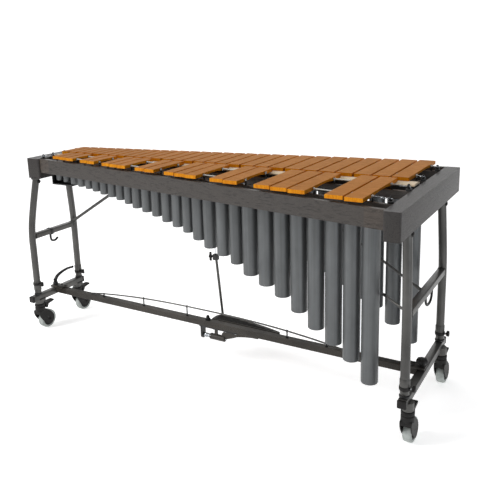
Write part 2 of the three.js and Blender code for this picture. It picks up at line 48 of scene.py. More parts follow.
# ---------------------------------------------------------------- camera
def aim_camera():
    yaw, pitch, roll = CAMERA_YAW, CAMERA_PITCH, CAMERA_ROLL
    ahead = Vector((math.sin(yaw) * math.cos(pitch), math.cos(yaw) * math.cos(pitch), -math.sin(pitch)))
    right = Vector((math.cos(yaw), -math.sin(yaw), 0))
    up = right.cross(ahead)
    side = right * math.cos(roll) + up * math.sin(roll)
    top = up * math.cos(roll) - right * math.sin(roll)
    data = bpy.data.cameras.new("camera")
    data.sensor_width = 36
    data.lens = CAMERA_LENS
    data.shift_y = CAMERA_SHIFT
    data.clip_end = CAMERA_REACH
    camera = bpy.data.objects.new("camera", data)
    turn = Matrix((side, top, -ahead)).transposed().to_4x4()
    camera.matrix_world = Matrix.Translation(CAMERA_AT) @ turn
    bpy.context.scene.collection.objects.link(camera)
    bpy.context.scene.camera = camera


aim_camera()


# ---------------------------------------------------------------- materials
def linear(rgb, share=1.0):
    """An 8-bit screen colour as linear values, darkened or lightened by a share."""
    out = []
    for c in rgb:
        c = min(255, c * share) / 255
        out.append(c / 12.92 if c <= 0.04045 else ((c + 0.055) / 1.055) ** 2.4)
    return (*out, 1.0)


class Nodes:
    """A material's node tree around one principled shader."""

    def __init__(self, name):
        self.mat = bpy.data.materials.new(name)
        self.mat.use_nodes = True
        self.tree = self.mat.node_tree
        self.tree.nodes.clear()
        self.bsdf = self.new("BsdfPrincipled")
        self.feed(self.new("OutputMaterial").inputs[0], self.bsdf.outputs[0])
        self.coord = self.new("TexCoord").outputs["Object"]

    def feed(self, socket, value):
        """Links an output to a socket, or sets the socket to a plain value."""
        if hasattr(value, "is_output"):
            self.tree.links.new(value, socket)
        else:
            socket.default_value = value

    def new(self, kind, **values):
        """A node with its properties and named sockets set."""
        node = self.tree.nodes.new("ShaderNode" + kind)
        for key, value in values.items():
            if hasattr(node, key):
                setattr(node, key, value)
            else:
                self.feed(node.inputs[key], value)
        return node

    def place(self, stretch):
        """Object coordinates, stretched."""
        return self.new("Mapping", Scale=stretch, Vector=self.coord).outputs[0]

    def noise(self, scale, stretch=(1, 1, 1), detail=4.0, rough=0.55, distortion=0.0):
        where = self.place(stretch)
        node = self.new(
            "TexNoise", Scale=scale, Detail=detail, Roughness=rough, Distortion=distortion, Vector=where
        )
        return node.outputs["Fac"]

    def ramp(self, value, *stops):
        """A ramp over (position, colour or grey) stops."""
        node = self.new("ValToRGB")
        ramp = node.color_ramp
        while len(ramp.elements) < len(stops):
            ramp.elements.new(0.5)
        for element, (position, colour) in zip(ramp.elements, stops):
            element.position = position
            element.color = colour if hasattr(colour, "__len__") else (colour, colour, colour, 1)
        self.feed(node.inputs[0], value)
        return node.outputs[0]

    def blend(self, value, low, high):
        """From low to high over the part of a noise's range where most of it lies."""
        return self.ramp(value, (0.3, low), (0.7, high))

    def mix(self, factor, a, b, mode="MIX"):
        node = self.new("Mix", data_type="RGBA", blend_type=mode)
        for index, value in ((0, factor), (6, a), (7, b)):
            self.feed(node.inputs[index], value)
        return node.outputs[2]

    def times(self, value, factor):
        node = self.new("Math", operation="MULTIPLY")
        self.feed(node.inputs[0], value)
        self.feed(node.inputs[1], factor)
        return node.outputs[0]

    def bump(self, height, strength, distance):
        node = self.new("Bump", Strength=strength, Distance=distance, Height=height)
        self.feed(self.bsdf.inputs["Normal"], node.outputs[0])

    def set(self, **values):
        """Sets the shader's sockets and gives the finished material."""
        for key, value in values.items():
            self.feed(self.bsdf.inputs[key.replace("_", " ")], value)
        return self.mat


def stained_wood(name, dark, light, grain=(2.0, 60, 60), brown=0.25, rough=0.46, coat=0.15):
    """Open-pored wood under a near-black stain: long streaks, short pores and a satin coat."""
    n = Nodes(name)
    streaks = n.noise(3.0, grain, 6.0, 0.62, 0.6)
    pores = n.noise(9.0, tuple(g * 3.2 for g in grain), 4.0, 0.7)
    cloud = n.noise(2.2, detail=2.0)
    body = n.ramp(streaks, (0.28, linear(dark)), (0.52, linear(light)), (0.75, linear(light, 0.82)))
    shade = n.mix(0.7, body, n.ramp(pores, (0.40, 0.36), (0.54, 1.0)), "MULTIPLY")
    warm = n.mix(1.0, shade, (1.16, 0.99, 0.86, 1), "MULTIPLY")
    n.bump(n.mix(0.5, streaks, pores), 0.25, 0.0006)
    return n.set(
        Base_Color=n.mix(n.times(cloud, brown * 2), shade, warm),
        Roughness=n.ramp(pores, (0.35, rough + 0.16), (0.6, rough)),
        Specular_IOR_Level=0.3,
        Coat_Weight=coat,
        Coat_Roughness=0.1,
    )


def brushed_gold(name, base, dark, rough, metal, stretch, speckle=0.12):
    """Anodised bar metal with fine lines across the bar and a slow drift of colour."""
    n = Nodes(name)
    lines = n.noise(30.0, stretch, 5.0, 0.7)
    fine = n.noise(240.0, detail=2.0, rough=0.6)
    drift = n.noise(3.5, detail=2.0)
    colour = n.ramp(lines, (0.30, linear(dark)), (0.62, linear(base)))
    colour = n.mix(speckle, colour, n.ramp(fine, (0.35, 0.55), (0.65, 1.25)), "MULTIPLY")
    colour = n.mix(0.25, colour, n.blend(drift, linear(dark), linear(base)))
    n.bump(n.mix(0.5, lines, fine), 0.10, 0.0002)
    return n.set(
        Base_Color=colour,
        Metallic=metal,
        Roughness=n.blend(lines, rough + 0.08, rough - 0.05),
        Specular_Tint=linear((238, 216, 190)),
    )


def painted(name, base, rough, metal=0.0, grit=0.35, scale=420.0):
    """Powder coat or satin paint with a fine orange-peel grit."""
    n = Nodes(name)
    peel = n.noise(scale, detail=3.0, rough=0.6)
    cloud = n.noise(6.0, detail=3.0)
    colour = n.blend(cloud, linear(base, 0.84), linear(base, 1.14))
    colour = n.mix(0.35, colour, n.blend(peel, 0.7, 1.2), "MULTIPLY")
    n.bump(peel, grit, 0.00025)
    return n.set(Base_Color=colour, Metallic=metal, Roughness=n.blend(cloud, rough + 0.05, rough - 0.04))


def drawn_tube(name, base, rough, metal):
    """Satin lacquered tube: faint lines along its length and a little mottling."""
    n = Nodes(name)
    lines = n.noise(60.0, (1, 1, 0.012), rough=0.65)
    mottle = n.noise(28.0, (1, 1, 0.5))
    colour = n.blend(lines, linear(base, 0.9), linear(base, 1.08))
    colour = n.mix(0.3, colour, n.blend(mottle, 0.8, 1.15), "MULTIPLY")
    n.bump(n.mix(0.5, lines, mottle), 0.06, 0.0003)
    return n.set(Base_Color=colour, Metallic=metal, Roughness=n.blend(mottle, rough + 0.07, rough - 0.04))


def bright_metal(name, base, rough):
    """Plated or polished metal, smeared and lightly scratched."""
    n = Nodes(name)
    smear = n.noise(35.0, (1, 1, 0.2))
    scratch = n.noise(90.0, (1, 1, 0.03), 3.0)
    n.bump(scratch, 0.05, 0.0002)
    return n.set(
        Base_Color=n.blend(smear, linear(base, 0.86), linear(base)),
        Metallic=1.0,
        Roughness=n.blend(scratch, rough + 0.1, rough),
    )


def moulded(name, base, rough, scale=300.0):
    """Moulded plastic with a fine spark-eroded grain."""
    n = Nodes(name)
    grain = n.noise(scale, detail=2.0, rough=0.5)
    cloud = n.noise(8.0, detail=2.0)
    n.bump(grain, 0.22, 0.0003)
    return n.set(
        Base_Color=n.blend(cloud, linear(base, 0.8), linear(base, 1.2)),
        Roughness=n.blend(grain, rough + 0.1, rough),
        Specular_IOR_Level=0.28,
    )


def tyre_rubber(name, base):
    """Grey rubber with a grain and scuffed patches."""
    n = Nodes(name)
    grain = n.noise(260.0, detail=3.0)
    scuff = n.noise(22.0, rough=0.6, distortion=0.5)
    n.bump(n.mix(0.4, grain, scuff), 0.3, 0.0004)
    return n.set(
        Base_Color=n.ramp(scuff, (0.32, linear(base, 0.78)), (0.55, linear(base)), (0.8, linear(base, 1.08))),
        Roughness=n.blend(scuff, 0.72, 0.58),
        Specular_IOR_Level=0.4,
    )


def felt_cloth(name, base):
    """Pressed wool felt: a fuzzy surface of short fibres with a soft sheen."""
    n = Nodes(name)
    fibre = n.noise(330.0, (1, 0.35, 1), 5.0, 0.75, 1.2)
    cloud = n.noise(14.0, detail=3.0)
    colour = n.blend(fibre, linear(base, 0.72), linear(base, 1.1))
    colour = n.mix(0.25, colour, n.blend(cloud, 0.75, 1.15), "MULTIPLY")
    n.bump(fibre, 0.7, 0.0012)
    return n.set(
        Base_Color=colour,
        Roughness=0.95,
        Sheen_Weight=0.35,
        Sheen_Roughness=0.5,
        Specular_IOR_Level=0.15,
    )


def twisted_cord(name, base):
    """Braided cord: diagonal strands along its run, with painted shade in the grooves between them."""
    n = Nodes(name)
    where = n.place((1, 1, 1))
    bands = {"wave_type": "BANDS", "bands_direction": "DIAGONAL"}
    strands = n.new("TexWave", Scale=420.0, Distortion=1.5, Vector=where, **bands).outputs["Fac"]
    n.bump(strands, 0.5, 0.0006)
    return n.set(
        # The darker part of the bands is painted shade in the grooves between strands.
        Base_Color=n.ramp(strands, (0.2, linear(base, 0.6)), (0.8, linear(base))),
        Roughness=0.85,
        Sheen_Weight=0.1,
    )


WOOD = stained_wood("stained_wood_long", (26, 24, 23), (66, 62, 59))
WOOD_PANEL = stained_wood("stained_wood_panel", (20, 18, 18), (48, 45, 44), (70, 2, 70), 0.3, 0.5, 0.2)
WOOD_BLOCK = stained_wood("stained_wood_block", (26, 23, 21), (72, 66, 61), (5, 50, 40), 0.4)
WOOD_NOSE = stained_wood("stained_wood_nose", (32, 26, 24), (64, 53, 49), (40, 40, 3), 0.5, 0.34, 0.6)
GOLD_TOP = brushed_gold("bar_top", (182, 122, 66), (128, 78, 34), 0.42, 1.0, (0.7, 9.0, 9.0))
# The bars' sides and rounded edges take a brighter, yellower gold: partly the sides' own anodised tone, and
# on the rounded edges a painted highlight.
GOLD_SIDE_AND_EDGE_HIGHLIGHT = brushed_gold("bar_side_and_painted_edge_highlight", (214, 140, 16), (170, 92, 5), 0.34, 0.6, (6.0, 6.0, 0.8), 0.2)
TUBE_GREY = drawn_tube("resonator_grey", (92, 94, 95), 0.42, 0.5)
# Near-black for the inside of the tubes: painted shade within the stopped tubes.
TUBE_INSIDE_PAINTED_SHADE = painted("resonator_inside_painted_shade", (20, 20, 21), 0.7)
FRAME_GREY = painted("frame_grey", (78, 77, 75), 0.36, 0.55, 0.3, 520.0)
BEAM_GREY = painted("beam_brown_grey", (54, 50, 45), 0.52, 0.3, 0.4, 360.0)
BLACK = painted("black_steel", (15, 15, 16), 0.44, 0.0, 0.3, 480.0)
PLASTIC = moulded("black_plastic", (17, 15, 14), 0.5)
RUBBER = moulded("black_rubber", (18, 18, 18), 0.72, 500.0)
CHROME = bright_metal("chrome", (205, 208, 212), 0.14)
ZINC = bright_metal("zinc_screws", (168, 170, 172), 0.3)
SATIN_STEEL = bright_metal("inner_tube_steel", (118, 119, 118), 0.3)
FELT = felt_cloth("damper_felt", (206, 186, 156))
CORD = twisted_cord("white_cord", (226, 224, 216))
TYRE = tyre_rubber("grey_tyre", (164, 169, 166))
HUB = moulded("wheel_hub", (15, 15, 16), 0.45)


# ---------------------------------------------------------------- mesh building
class Shape:
    """A mesh that grows from parts, each with its own material."""

    def __init__(self):
        self.bm = bmesh.new()
        self.mats = []

    def slot_of(self, mat):
        if mat not in self.mats:
            self.mats.append(mat)
        return self.mats.index(mat)

    def take(self, part, mat, pick=None):
        """Adds a bmesh. pick(face) may choose another material for a face."""
        base = self.slot_of(mat)
        for face in part.faces:
            chosen = pick(face) if pick else None
            face.material_index = self.slot_of(chosen) if chosen else base
        mesh = bpy.data.meshes.new("part")
        part.to_mesh(mesh)
        part.free()
        self.bm.from_mesh(mesh)
        bpy.data.meshes.remove(mesh)

    def build(self, name, body, slot, *replaces, smooth=32.0):
        """Makes the piece, on its body, with edges sharp past the smooth angle."""
        for v in self.bm.verts:
            v.co *= MM
        mesh = bpy.data.meshes.new(name)
        self.bm.to_mesh(mesh)
        self.bm.free()
        for mat in self.mats:
            mesh.materials.append(mat)
        mesh.shade_smooth()
        mesh.set_sharp_from_angle(angle=math.radians(smooth))
        obj = bpy.data.objects.new(name, mesh)
        bpy.context.scene.collection.objects.link(obj)
        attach(obj, body)
        if replaces:
            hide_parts(*replaces)


SOFT_ANGLE = math.radians(28)
STAY = Matrix()
ALONG_X = Matrix(((0, 0, 1, 0), (1, 0, 0, 0), (0, 1, 0, 0), (0, 0, 0, 1)))
ALONG_Y = Matrix(((1, 0, 0, 0), (0, 0, -1, 0), (0, 1, 0, 0), (0, 0, 0, 1)))


def mix(a, b, share):
    return a + (b - a) * share


def shift(x, y, z=0.0):
    return Matrix.Translation((x, y, z))


def frame_to(a, b):
    """A matrix that takes the Z axis onto the line from a to b."""
    along = (Vector(b) - Vector(a)).normalized()
    return Matrix.Translation(Vector(a)) @ Vector((0, 0, 1)).rotation_difference(along).to_matrix().to_4x4()


def sideways(x, y, z, way=1):
    """A matrix that takes the Z axis onto a line along X from a point."""
    return frame_to((x, y, z), (x + way, y, z))


def turned(bm, matrix):
    bmesh.ops.transform(bm, matrix=matrix, verts=bm.verts)
    return bm


def soften(bm, radius, segments=2):
    """Rounds the edges that turn by more than the soft angle."""
    edges = [e for e in bm.edges if len(e.link_faces) == 2 and e.calc_face_angle(0) > SOFT_ANGLE]
    if edges and radius > 0:
        bmesh.ops.bevel(
            bm, geom=edges, offset=radius, segments=segments, profile=0.5, affect="EDGES", clamp_overlap=True
        )
    return bm


def wall(bm, lower, upper):
    """Faces between two rings of vertices."""
    for i in range(len(lower)):
        j = (i + 1) % len(lower)
        bm.faces.new((lower[i], lower[j], upper[j], upper[i]))


def block(a, b, radius=1.0, segments=2):
    """A box between two opposite corners, with its edges rounded."""
    bm = bmesh.new()
    bmesh.ops.create_cube(bm, size=1.0)
    for v in bm.verts:
        for i in range(3):
            v.co[i] = max(a[i], b[i]) if v.co[i] > 0 else min(a[i], b[i])
    return soften(bm, radius, segments)


def slab(outline, z0, z1, radius=1.0, segments=2):
    """A plan outline raised from z0 to z1, with its edges rounded."""
    area = sum(a[0] * b[1] - b[0] * a[1] for a, b in zip(outline, outline[1:] + outline[:1]))
    points = outline if area > 0 else outline[::-1]
    bm = bmesh.new()
    low = [bm.verts.new((x, y, z0)) for x, y in points]
    high = [bm.verts.new((x, y, z1)) for x, y in points]
    bm.faces.new(low[::-1])
    bm.faces.new(high)
    wall(bm, low, high)
    return soften(bm, radius, segments)


def side_plate(outline, x0, x1, radius=0.8):
    """A (y, z) outline raised from x0 to x1."""
    return turned(slab(outline, x0, x1, radius), ALONG_X)


def front_plate(outline, y0, y1, radius=0.8):
    """A (x, z) outline raised from y0 to y1."""
    return turned(slab(outline, -y1, -y0, radius), ALONG_Y)


def ellipse(wide, tall, sides):
    turns = [2 * math.pi * i / sides for i in range(sides)]
    return [(wide * math.cos(a), tall * math.sin(a)) for a in turns]


def circle(radius, sides=14):
    return ellipse(radius, radius, sides)


def arc(centre, radius, start, end, steps):
    """Points on an arc between two angles in degrees."""
    out = []
    for i in range(steps + 1):
        a = math.radians(start + (end - start) * i / steps)
        out.append((centre[0] + radius * math.cos(a), centre[1] + radius * math.sin(a)))
    return out


def bend(points, pull, end, steps):
    """Carries a list of points on to an end, curving towards a pull point."""
    start = points[-1]
    for i in range(1, steps + 1):
        t = i / steps
        points.append(
            tuple((1 - t) ** 2 * a + 2 * t * (1 - t) * b + t * t * c for a, b, c in zip(start, pull, end))
        )


def smooth_path(points, steps=8):
    """A Catmull-Rom line through the points."""
    pts = [Vector(p) for p in points]
    pts = [pts[0] * 2 - pts[1]] + pts + [pts[-1] * 2 - pts[-2]]
    out = []
    for p0, p1, p2, p3 in zip(pts, pts[1:], pts[2:], pts[3:]):
        for s in range(steps):
            t = s / steps
            square = (2 * p0 - 5 * p1 + 4 * p2 - p3) * t**2
            cube = (3 * p1 - p0 - 3 * p2 + p3) * t**3
            out.append(0.5 * ((2 * p1) + (p2 - p0) * t + square + cube))
    out.append(pts[-2])
    return out


def lathe(profile, sides=24, matrix=STAY):
    """A closed solid turned about Z from (radius, z) points that start and end on the axis."""
    bm = bmesh.new()
    rings = []
    for radius, z in profile:
        spots = circle(radius, sides if radius > 0 else 1)
        rings.append([bm.verts.new((x, y, z)) for x, y in spots])
    wall_rings = rings[1:-1]
    for i in range(sides):
        j = (i + 1) % sides
        bm.faces.new((rings[0][0], wall_rings[0][j], wall_rings[0][i]))
    for lower, upper in zip(wall_rings, wall_rings[1:]):
        wall(bm, lower, upper)
    for i in range(sides):
        j = (i + 1) % sides
        bm.faces.new((wall_rings[-1][i], wall_rings[-1][j], rings[-1][0]))
    return turned(bm, matrix)


def ring(profile, sides=24, matrix=STAY):
    """A closed ring turned about Z from a loop of (radius, z) points."""
    bm = bmesh.new()
    loops = [[bm.verts.new((r * c, r * s, z)) for r, z in profile] for c, s in circle(1, sides)]
    for near, far in zip(loops, loops[1:] + loops[:1]):
        for k in range(len(profile)):
            m = (k + 1) % len(profile)
            bm.faces.new((near[k], far[k], far[m], near[m]))
    bmesh.ops.recalc_face_normals(bm, faces=bm.faces)
    return turned(bm, matrix)


def lobed(profile, lobes, depth, sides, matrix):
    """A turned grip whose outline swings in and out around its axis."""
    bm = lathe(profile, sides)
    for v in bm.verts:
        if math.hypot(v.co.x, v.co.y) > 1e-4:
            k = 1 - depth * (0.5 - 0.5 * math.cos(lobes * math.atan2(v.co.y, v.co.x)))
            v.co.x *= k
            v.co.y *= k
    return turned(bm, matrix)


def bolt(a, b, head=5.0, tall=3.0):
    """A screw head that stands at a and points towards b, on a small washer."""
    washer, thick = head * 1.35, 0.9
    profile = [(0, 0), (washer, 0), (washer, thick), (head, thick), (head, tall - 0.6), (head - 0.8, tall)]
    return lathe([*profile, (0, tall)], 12, frame_to(a, b))


def rod(a, b, radius, sides=16, ends=0.6):
    """A round rod from a to b with chamfered ends."""
    length = (Vector(b) - Vector(a)).length
    inner = radius - ends
    profile = [(0, 0), (inner, 0), (radius, ends), (radius, length - ends), (inner, length), (0, length)]
    return lathe(profile, sides, frame_to(a, b))


def loft(sections):
    """A closed skin over rings of points that all have the same count."""
    bm = bmesh.new()
    rings = [[bm.verts.new(p) for p in section] for section in sections]
    for lower, upper in zip(rings, rings[1:]):
        wall(bm, lower, upper)
    bm.faces.new(rings[0][::-1])
    bm.faces.new(rings[-1])
    bmesh.ops.recalc_face_normals(bm, faces=bm.faces)
    return bm


def sweep(path, section, up=(0, 0, 1), taper=(1.0, 1.0)):
    """A closed section of (side, up) points carried along a path, and tapered."""
    path = [Vector(p) for p in path]
    last = len(path) - 1
    up = Vector(up)
    sections = []
    for i, point in enumerate(path):
        along = (path[min(i + 1, last)] - path[max(i - 1, 0)]).normalized()
        side = along.cross(up).normalized()
        up = side.cross(along).normalized()
        k = mix(*taper, i / last)
        sections.append([point + side * s * k + up * u * k for s, u in section])
    return loft(sections)


def coil(a, b, radius, wire, turns):
    """A helical spring from a to b."""
    place = frame_to(a, b)
    length = (Vector(b) - Vector(a)).length
    steps = turns * 12
    points = []
    for i in range(steps + 1):
        t = i / steps
        angle = 2 * math.pi * turns * t
        points.append(place @ Vector((radius * math.cos(angle), radius * math.sin(angle), length * t)))
    return sweep(points, circle(wire, 6), (0.3, 0.5, 0.8))


def facing(axis, sign, mat, limit):
    """A chooser of material for faces whose normal lies along an axis."""
    return lambda face: mat if face.normal[axis] * sign > limit else None


# ---------------------------------------------------------------- sizes
PANEL_TOP, PANEL_BOTTOM = 845, 753
PANELS = {"low": ((873, 927), (-380, 380)), "high": ((-921, -845), (-110, 156))}
INNER_LOW, INNER_HIGH = 873, -845
RAIL_THICK, RAIL_BOTTOM = 15, 782
BAR_TOP, BAR_THICK, BAR_GAP, BAR_INNER, BAR_SETBACK = 867, 12.7, 9, 8, 4
BAR_RAIL_HALF, BAR_RAIL_BOTTOM, BAR_RAIL_TOP = 6.5, 812, 842
NODE_SHARE = 0.224
CORD_Z = BAR_TOP - BAR_THICK / 2
NATURAL_WIDTHS = ((8, 60), (3, 54), (7, 45.5), (11, 39.5))
LOWEST_EDGE = 835
STEPS = (0, 2, 4, 5, 7, 9, 11)
LOWEST_NOTE = 48
TUBE_TOP, TUBE_WALL = 786, 1.3
TUBE_DIAMETERS = [60] * 8 + [52] * 4 + [45] * 6 + [40] * 5 + [34] * 6
LEG_X, LEG_RADIUS, LEG_BORE, LEG_FOOT, LEG_BEND, BORE_TOP = 910, 15.5, 12.8, 209, 496, 413
INNER_TUBE_RADIUS, INNER_TUBE_TOP = 12, 409
LEG_Y = {"low": (231, 217), "high": (134, 96)}
LEG_HEAD_X = {"low": 900, "high": -886}
BASE_BOTTOM, BASE_TOP = 157, 185
BASE_Y = {"low": (-265, 279), "high": (-179, 156)}
BEAM_FRONT, BEAM_BACK, BEAM_BOTTOM, BEAM_TOP = -38, -8, 164, 190
ROD_X, ROD_Y0, ROD_LEAN = 17, 88, -0.127
ROD_FOOT, ROD_CLAMP, ROD_TOP = 138, 470, 826
PIN_Y, PIN_Z = -20, 118
CLAMP_Z = {"low_front": 218, "low_back": 218, "high_front": 240, "high_back": 218}
CASTER_X, CASTER_INSET = 920, 10
WHEEL, TYRE_WIDE, TRAIL, HEAD_TOP = 44, 32, 36, 134
FORK_HALF = TYRE_WIDE / 2 + 4.6
SIGN = {"low": 1, "high": -1, "front": -1, "back": 1}
CORNERS = [(end, side) for end in ("low", "high") for side in ("front", "back")]


def line_between(high, low):
    """A straight line in plan between its places at the high and the low end."""
    return lambda x: high + (low - high) * (x - INNER_HIGH) / (INNER_LOW - INNER_HIGH)


def strip(a, b, line, half):
    """The plan of a strip that follows a line from a to b."""
    return [(a, line(a) - half), (b, line(b) - half), (b, line(b) + half), (a, line(a) + half)]


front_face = line_between(-102, -366)
back_face = line_between(146, 378)


def accidental_end(x):
    return front_face(x) + BAR_SETBACK


def natural_end(x):
    return back_face(x) - BAR_SETBACK


NODAL = {
    "accidental_outer": lambda x: mix(-BAR_INNER, accidental_end(x), 1 - NODE_SHARE),
    "accidental_inner": lambda x: mix(-BAR_INNER, accidental_end(x), NODE_SHARE),
    "natural_inner": lambda x: mix(BAR_INNER, natural_end(x), NODE_SHARE),
    "natural_outer": lambda x: mix(BAR_INNER, natural_end(x), 1 - NODE_SHARE),
}


def lay_notes():
    """The naturals from low to high as (x, width, note, octave), and the spaces between them."""
    naturals = []
    edge = LOWEST_EDGE
    for count, width in NATURAL_WIDTHS:
        for _ in range(count):
            octave = len(naturals) // 7
            note = LOWEST_NOTE + 12 * octave + STEPS[len(naturals) % 7]
            naturals.append((edge - width / 2, width, note, octave))
            edge -= width + BAR_GAP
    spaces = []
    for lower, upper in zip(naturals, naturals[1:]):
        x = (lower[0] - lower[1] / 2 + upper[0] + upper[1] / 2) / 2
        spaces.append((x, (lower[1] + upper[1]) / 2, (lower[2] + upper[2]) / 2, lower[3]))
    return naturals, spaces


naturals, spaces = lay_notes()
sharps = [s for s, lower, upper in zip(spaces, naturals, naturals[1:]) if upper[2] - lower[2] == 2]
ROWS = {name: naturals if name.startswith("natural") else sharps for name in NODAL}


# ---------------------------------------------------------------- end panels and rails
def end_panel(end):
    """An end panel with round corners, and its nose in a warmer stain."""
    (x0, x1), (y0, y1) = PANELS[end]
    r = 7
    outline = []
    corners = ((x1 - r, y1 - r), (x0 + r, y1 - r), (x0 + r, y0 + r), (x1 - r, y0 + r))
    for i, corner in enumerate(corners):
        outline += arc(corner, r, 90 * i, 90 * i + 90, 6)
    shape = Shape()
    body = slab(outline, PANEL_BOTTOM, PANEL_TOP, 2.6, 3)
    shape.take(body, WOOD_PANEL, facing(1, -1, WOOD_NOSE, 0.5))
    shape.build(f"{end}_end_panel_wood", "frame", "stained_wood", f"{end}_end_panel")


def side_rail(name, face, inward):
    """A rail between the end panels, with a block of another grain at each end."""
    shape = Shape()
    ends = (INNER_HIGH + 0.4, INNER_HIGH + 66, INNER_LOW - 66, INNER_LOW - 0.4)
    for i, (a, b) in enumerate(zip(ends, ends[1:])):
        thick = inward * RAIL_THICK
        outline = [(a, face(a)), (b, face(b)), (b, face(b) + thick), (a, face(a) + thick)]
        shape.take(slab(outline, RAIL_BOTTOM, PANEL_TOP, 1.4, 3), WOOD if i == 1 else WOOD_BLOCK)
    shape.build(f"{name}_wood", "frame", "stained_wood", name)


for end in ("low", "high"):
    end_panel(end)
side_rail("front_rail", front_face, 1)
side_rail("back_rail", back_face, -1)


# ---------------------------------------------------------------- bars and what holds them
def bar(x, width, inner, outer):
    """A bar with an arch cut into its underside between the still points."""
    length = outer - inner
    depth = mix(3.4, 5.2, (abs(length) - 90) / 280)
    outline = [(inner, BAR_TOP), (inner, BAR_TOP - BAR_THICK)]
    for i in range(15):
        t = i / 14
        rise = max(0.0, 1 - abs(2 * t - 1) ** 2.6)
        outline.append((inner + length * mix(0.25, 0.75, t), BAR_TOP - BAR_THICK + depth * rise))
    outline += [(outer, BAR_TOP - BAR_THICK), (outer, BAR_TOP)]
    return side_plate(outline, x - width / 2, x + width / 2, 0.9)


def bar_set(kind, octave, bars, inner, outer_end):
    """An octave of bars, the cord that runs through them, and the rims of their cord holes."""
    last = 4 if octave == 3 else octave
    held = [b for b in bars if b[3] in (octave, last)]
    name = f"{kind}_bars_octave_{octave + 1}"
    shape = Shape()
    for x, width, _, _ in held:
        # Upward faces take the top metal; sides and rounded edges take the brighter gold, which paints a
        # highlight along the edges.
        shape.take(bar(x, width, inner, outer_end(x)), GOLD_SIDE_AND_EDGE_HIGHLIGHT, facing(2, 1, GOLD_TOP, 0.8))
    shape.build(f"{name}_metal", "frame", "gold_bars", name)
    cord = Shape()
    rims = Shape()
    for line in (NODAL[f"{kind}_inner"], NODAL[f"{kind}_outer"]):
        a, b = held[0][0] + held[0][1] / 2 + 4, held[-1][0] - held[-1][1] / 2 - 4
        cord.take(sweep([(a, line(a), CORD_Z), (b, line(b), CORD_Z)], circle(1.9, 10)), CORD)
        for x, width, _, _ in held:
            for side in (-1, 1):
                rim_x = x + side * (width / 2 - 0.3)
                loop = [(2.1, 0), (3.3, 0), (3.3, 0.7), (2.1, 0.7)]
                rims.take(ring(loop, 12, sideways(rim_x, line(rim_x), CORD_Z, side)), BLACK)
    cord.build(f"{kind}_cord_octave_{octave + 1}", "frame", "felt", name)
    rims.build(f"{kind}_cord_holes_octave_{octave + 1}", "frame", "black_metal", name)


for octave in range(4):
    bar_set("natural", octave, naturals, BAR_INNER, natural_end)
    bar_set("accidental", octave, sharps, -BAR_INNER, accidental_end)


def post_places(bars):
    """The places of the cord posts: one in each gap and one past each end."""
    places = []
    for x, width, _, _ in bars:
        right = x + (width + BAR_GAP) / 2
        if places and places[-1] - right < 10:
            places[-1] = (places[-1] + right) / 2
        else:
            places.append(right)
        places.append(x - (width + BAR_GAP) / 2)
    return places


def bar_rail(name, bars):
    """A rail under the bars' still points, with a post and a cord hook in each gap."""
    line = NODAL[name]
    rail, tips = Shape(), Shape()
    outline = strip(INNER_HIGH + 0.4, INNER_LOW - 0.4, line, BAR_RAIL_HALF)
    rail.take(slab(outline, BAR_RAIL_BOTTOM, BAR_RAIL_TOP, 1.2), WOOD)
    for x in post_places(bars):
        y = line(x)
        stem = [(0, 841), (4.2, 841), (4.2, 843), (2.9, 844.2), (2.6, 853), (3.2, 854), (3.2, 856), (0, 857)]
        rail.take(lathe(stem, 12, shift(x, y)), PLASTIC)
        for side in (-1, 1):
            reach = ((2.4, 854), (3.3, 858), (3.3, 861.5), (1.9, 864.6))
            prong = [(x, y + side * out, z) for out, z in reach]
            tips.take(sweep(prong, circle(0.9, 6), (1, 0, 0)), CHROME)
        sleeve = [(2.2, -2.6), (3.2, -2.6), (3.2, 2.6), (2.2, 2.6)]
        tips.take(ring(sleeve, 10, sideways(x, y, CORD_Z)), CORD)
    rail.build(f"{name}_bar_rail_wood", "frame", "black_metal", f"{name}_bar_rail")
    tips.build(f"{name}_cord_hooks", "frame", "bright_steel", f"{name}_bar_rail")


for name, bars in ROWS.items():
    bar_rail(name, bars)


def cord_ends():
    """The springs that keep the cord tight, from the last post to an eye on each end panel."""
    shape, anchor = Shape(), Shape()
    for name, line in NODAL.items():
        places = post_places(ROWS[name])
        for start, wall, side in ((places[0], INNER_LOW, 1), (places[-1], INNER_HIGH, -1)):
            if abs(wall - start) < 22:
                continue
            y = line(start)
            near, far = start + side * 3, wall - side * 7
            spring = min(abs(far - near) * 0.7, 34)
            shape.take(coil((far - side * spring, y, CORD_Z - 3), (far, y, CORD_Z - 3), 2.6, 0.55, 9), CHROME)
            tail = [(near, y, CORD_Z), ((near + far) / 2, y, CORD_Z - 1)]
            tail += [(far - side * spring, y, CORD_Z - 3)]
            shape.take(sweep(smooth_path(tail, 4), circle(0.9, 6)), CHROME)
            anchor.take(block((wall - side, y - 7, 842.4), (wall - side * 19, y + 7, 850), 1.6), BLACK)
            post = [(0, 849), (5, 849), (5.6, 851), (5.2, 861), (3.6, 864.4), (0, 865.4)]
            anchor.take(lathe(post, 18, shift(wall - side * 12, y + 3.5)), PLASTIC)
            eye = [(far, y, CORD_Z - 3), (far + side * 3, y, CORD_Z - 5), (far + side * 3, y, 842.5)]
            shape.take(sweep(smooth_path(eye, 5), circle(1.1, 8), up=(0, 1, 0)), CHROME)
    shape.build("cord_end_springs", "frame", "bright_steel")
    anchor.build("cord_end_anchors", "frame", "black_metal")


cord_ends()


# ---------------------------------------------------------------- resonators
SOUND_SPEED, TUNING_PITCH, TUNING_NOTE = 343000, 440, 69


def quarter_wave(note):
    return SOUND_SPEED / (4 * TUNING_PITCH * 2 ** ((note - TUNING_NOTE) / 12))


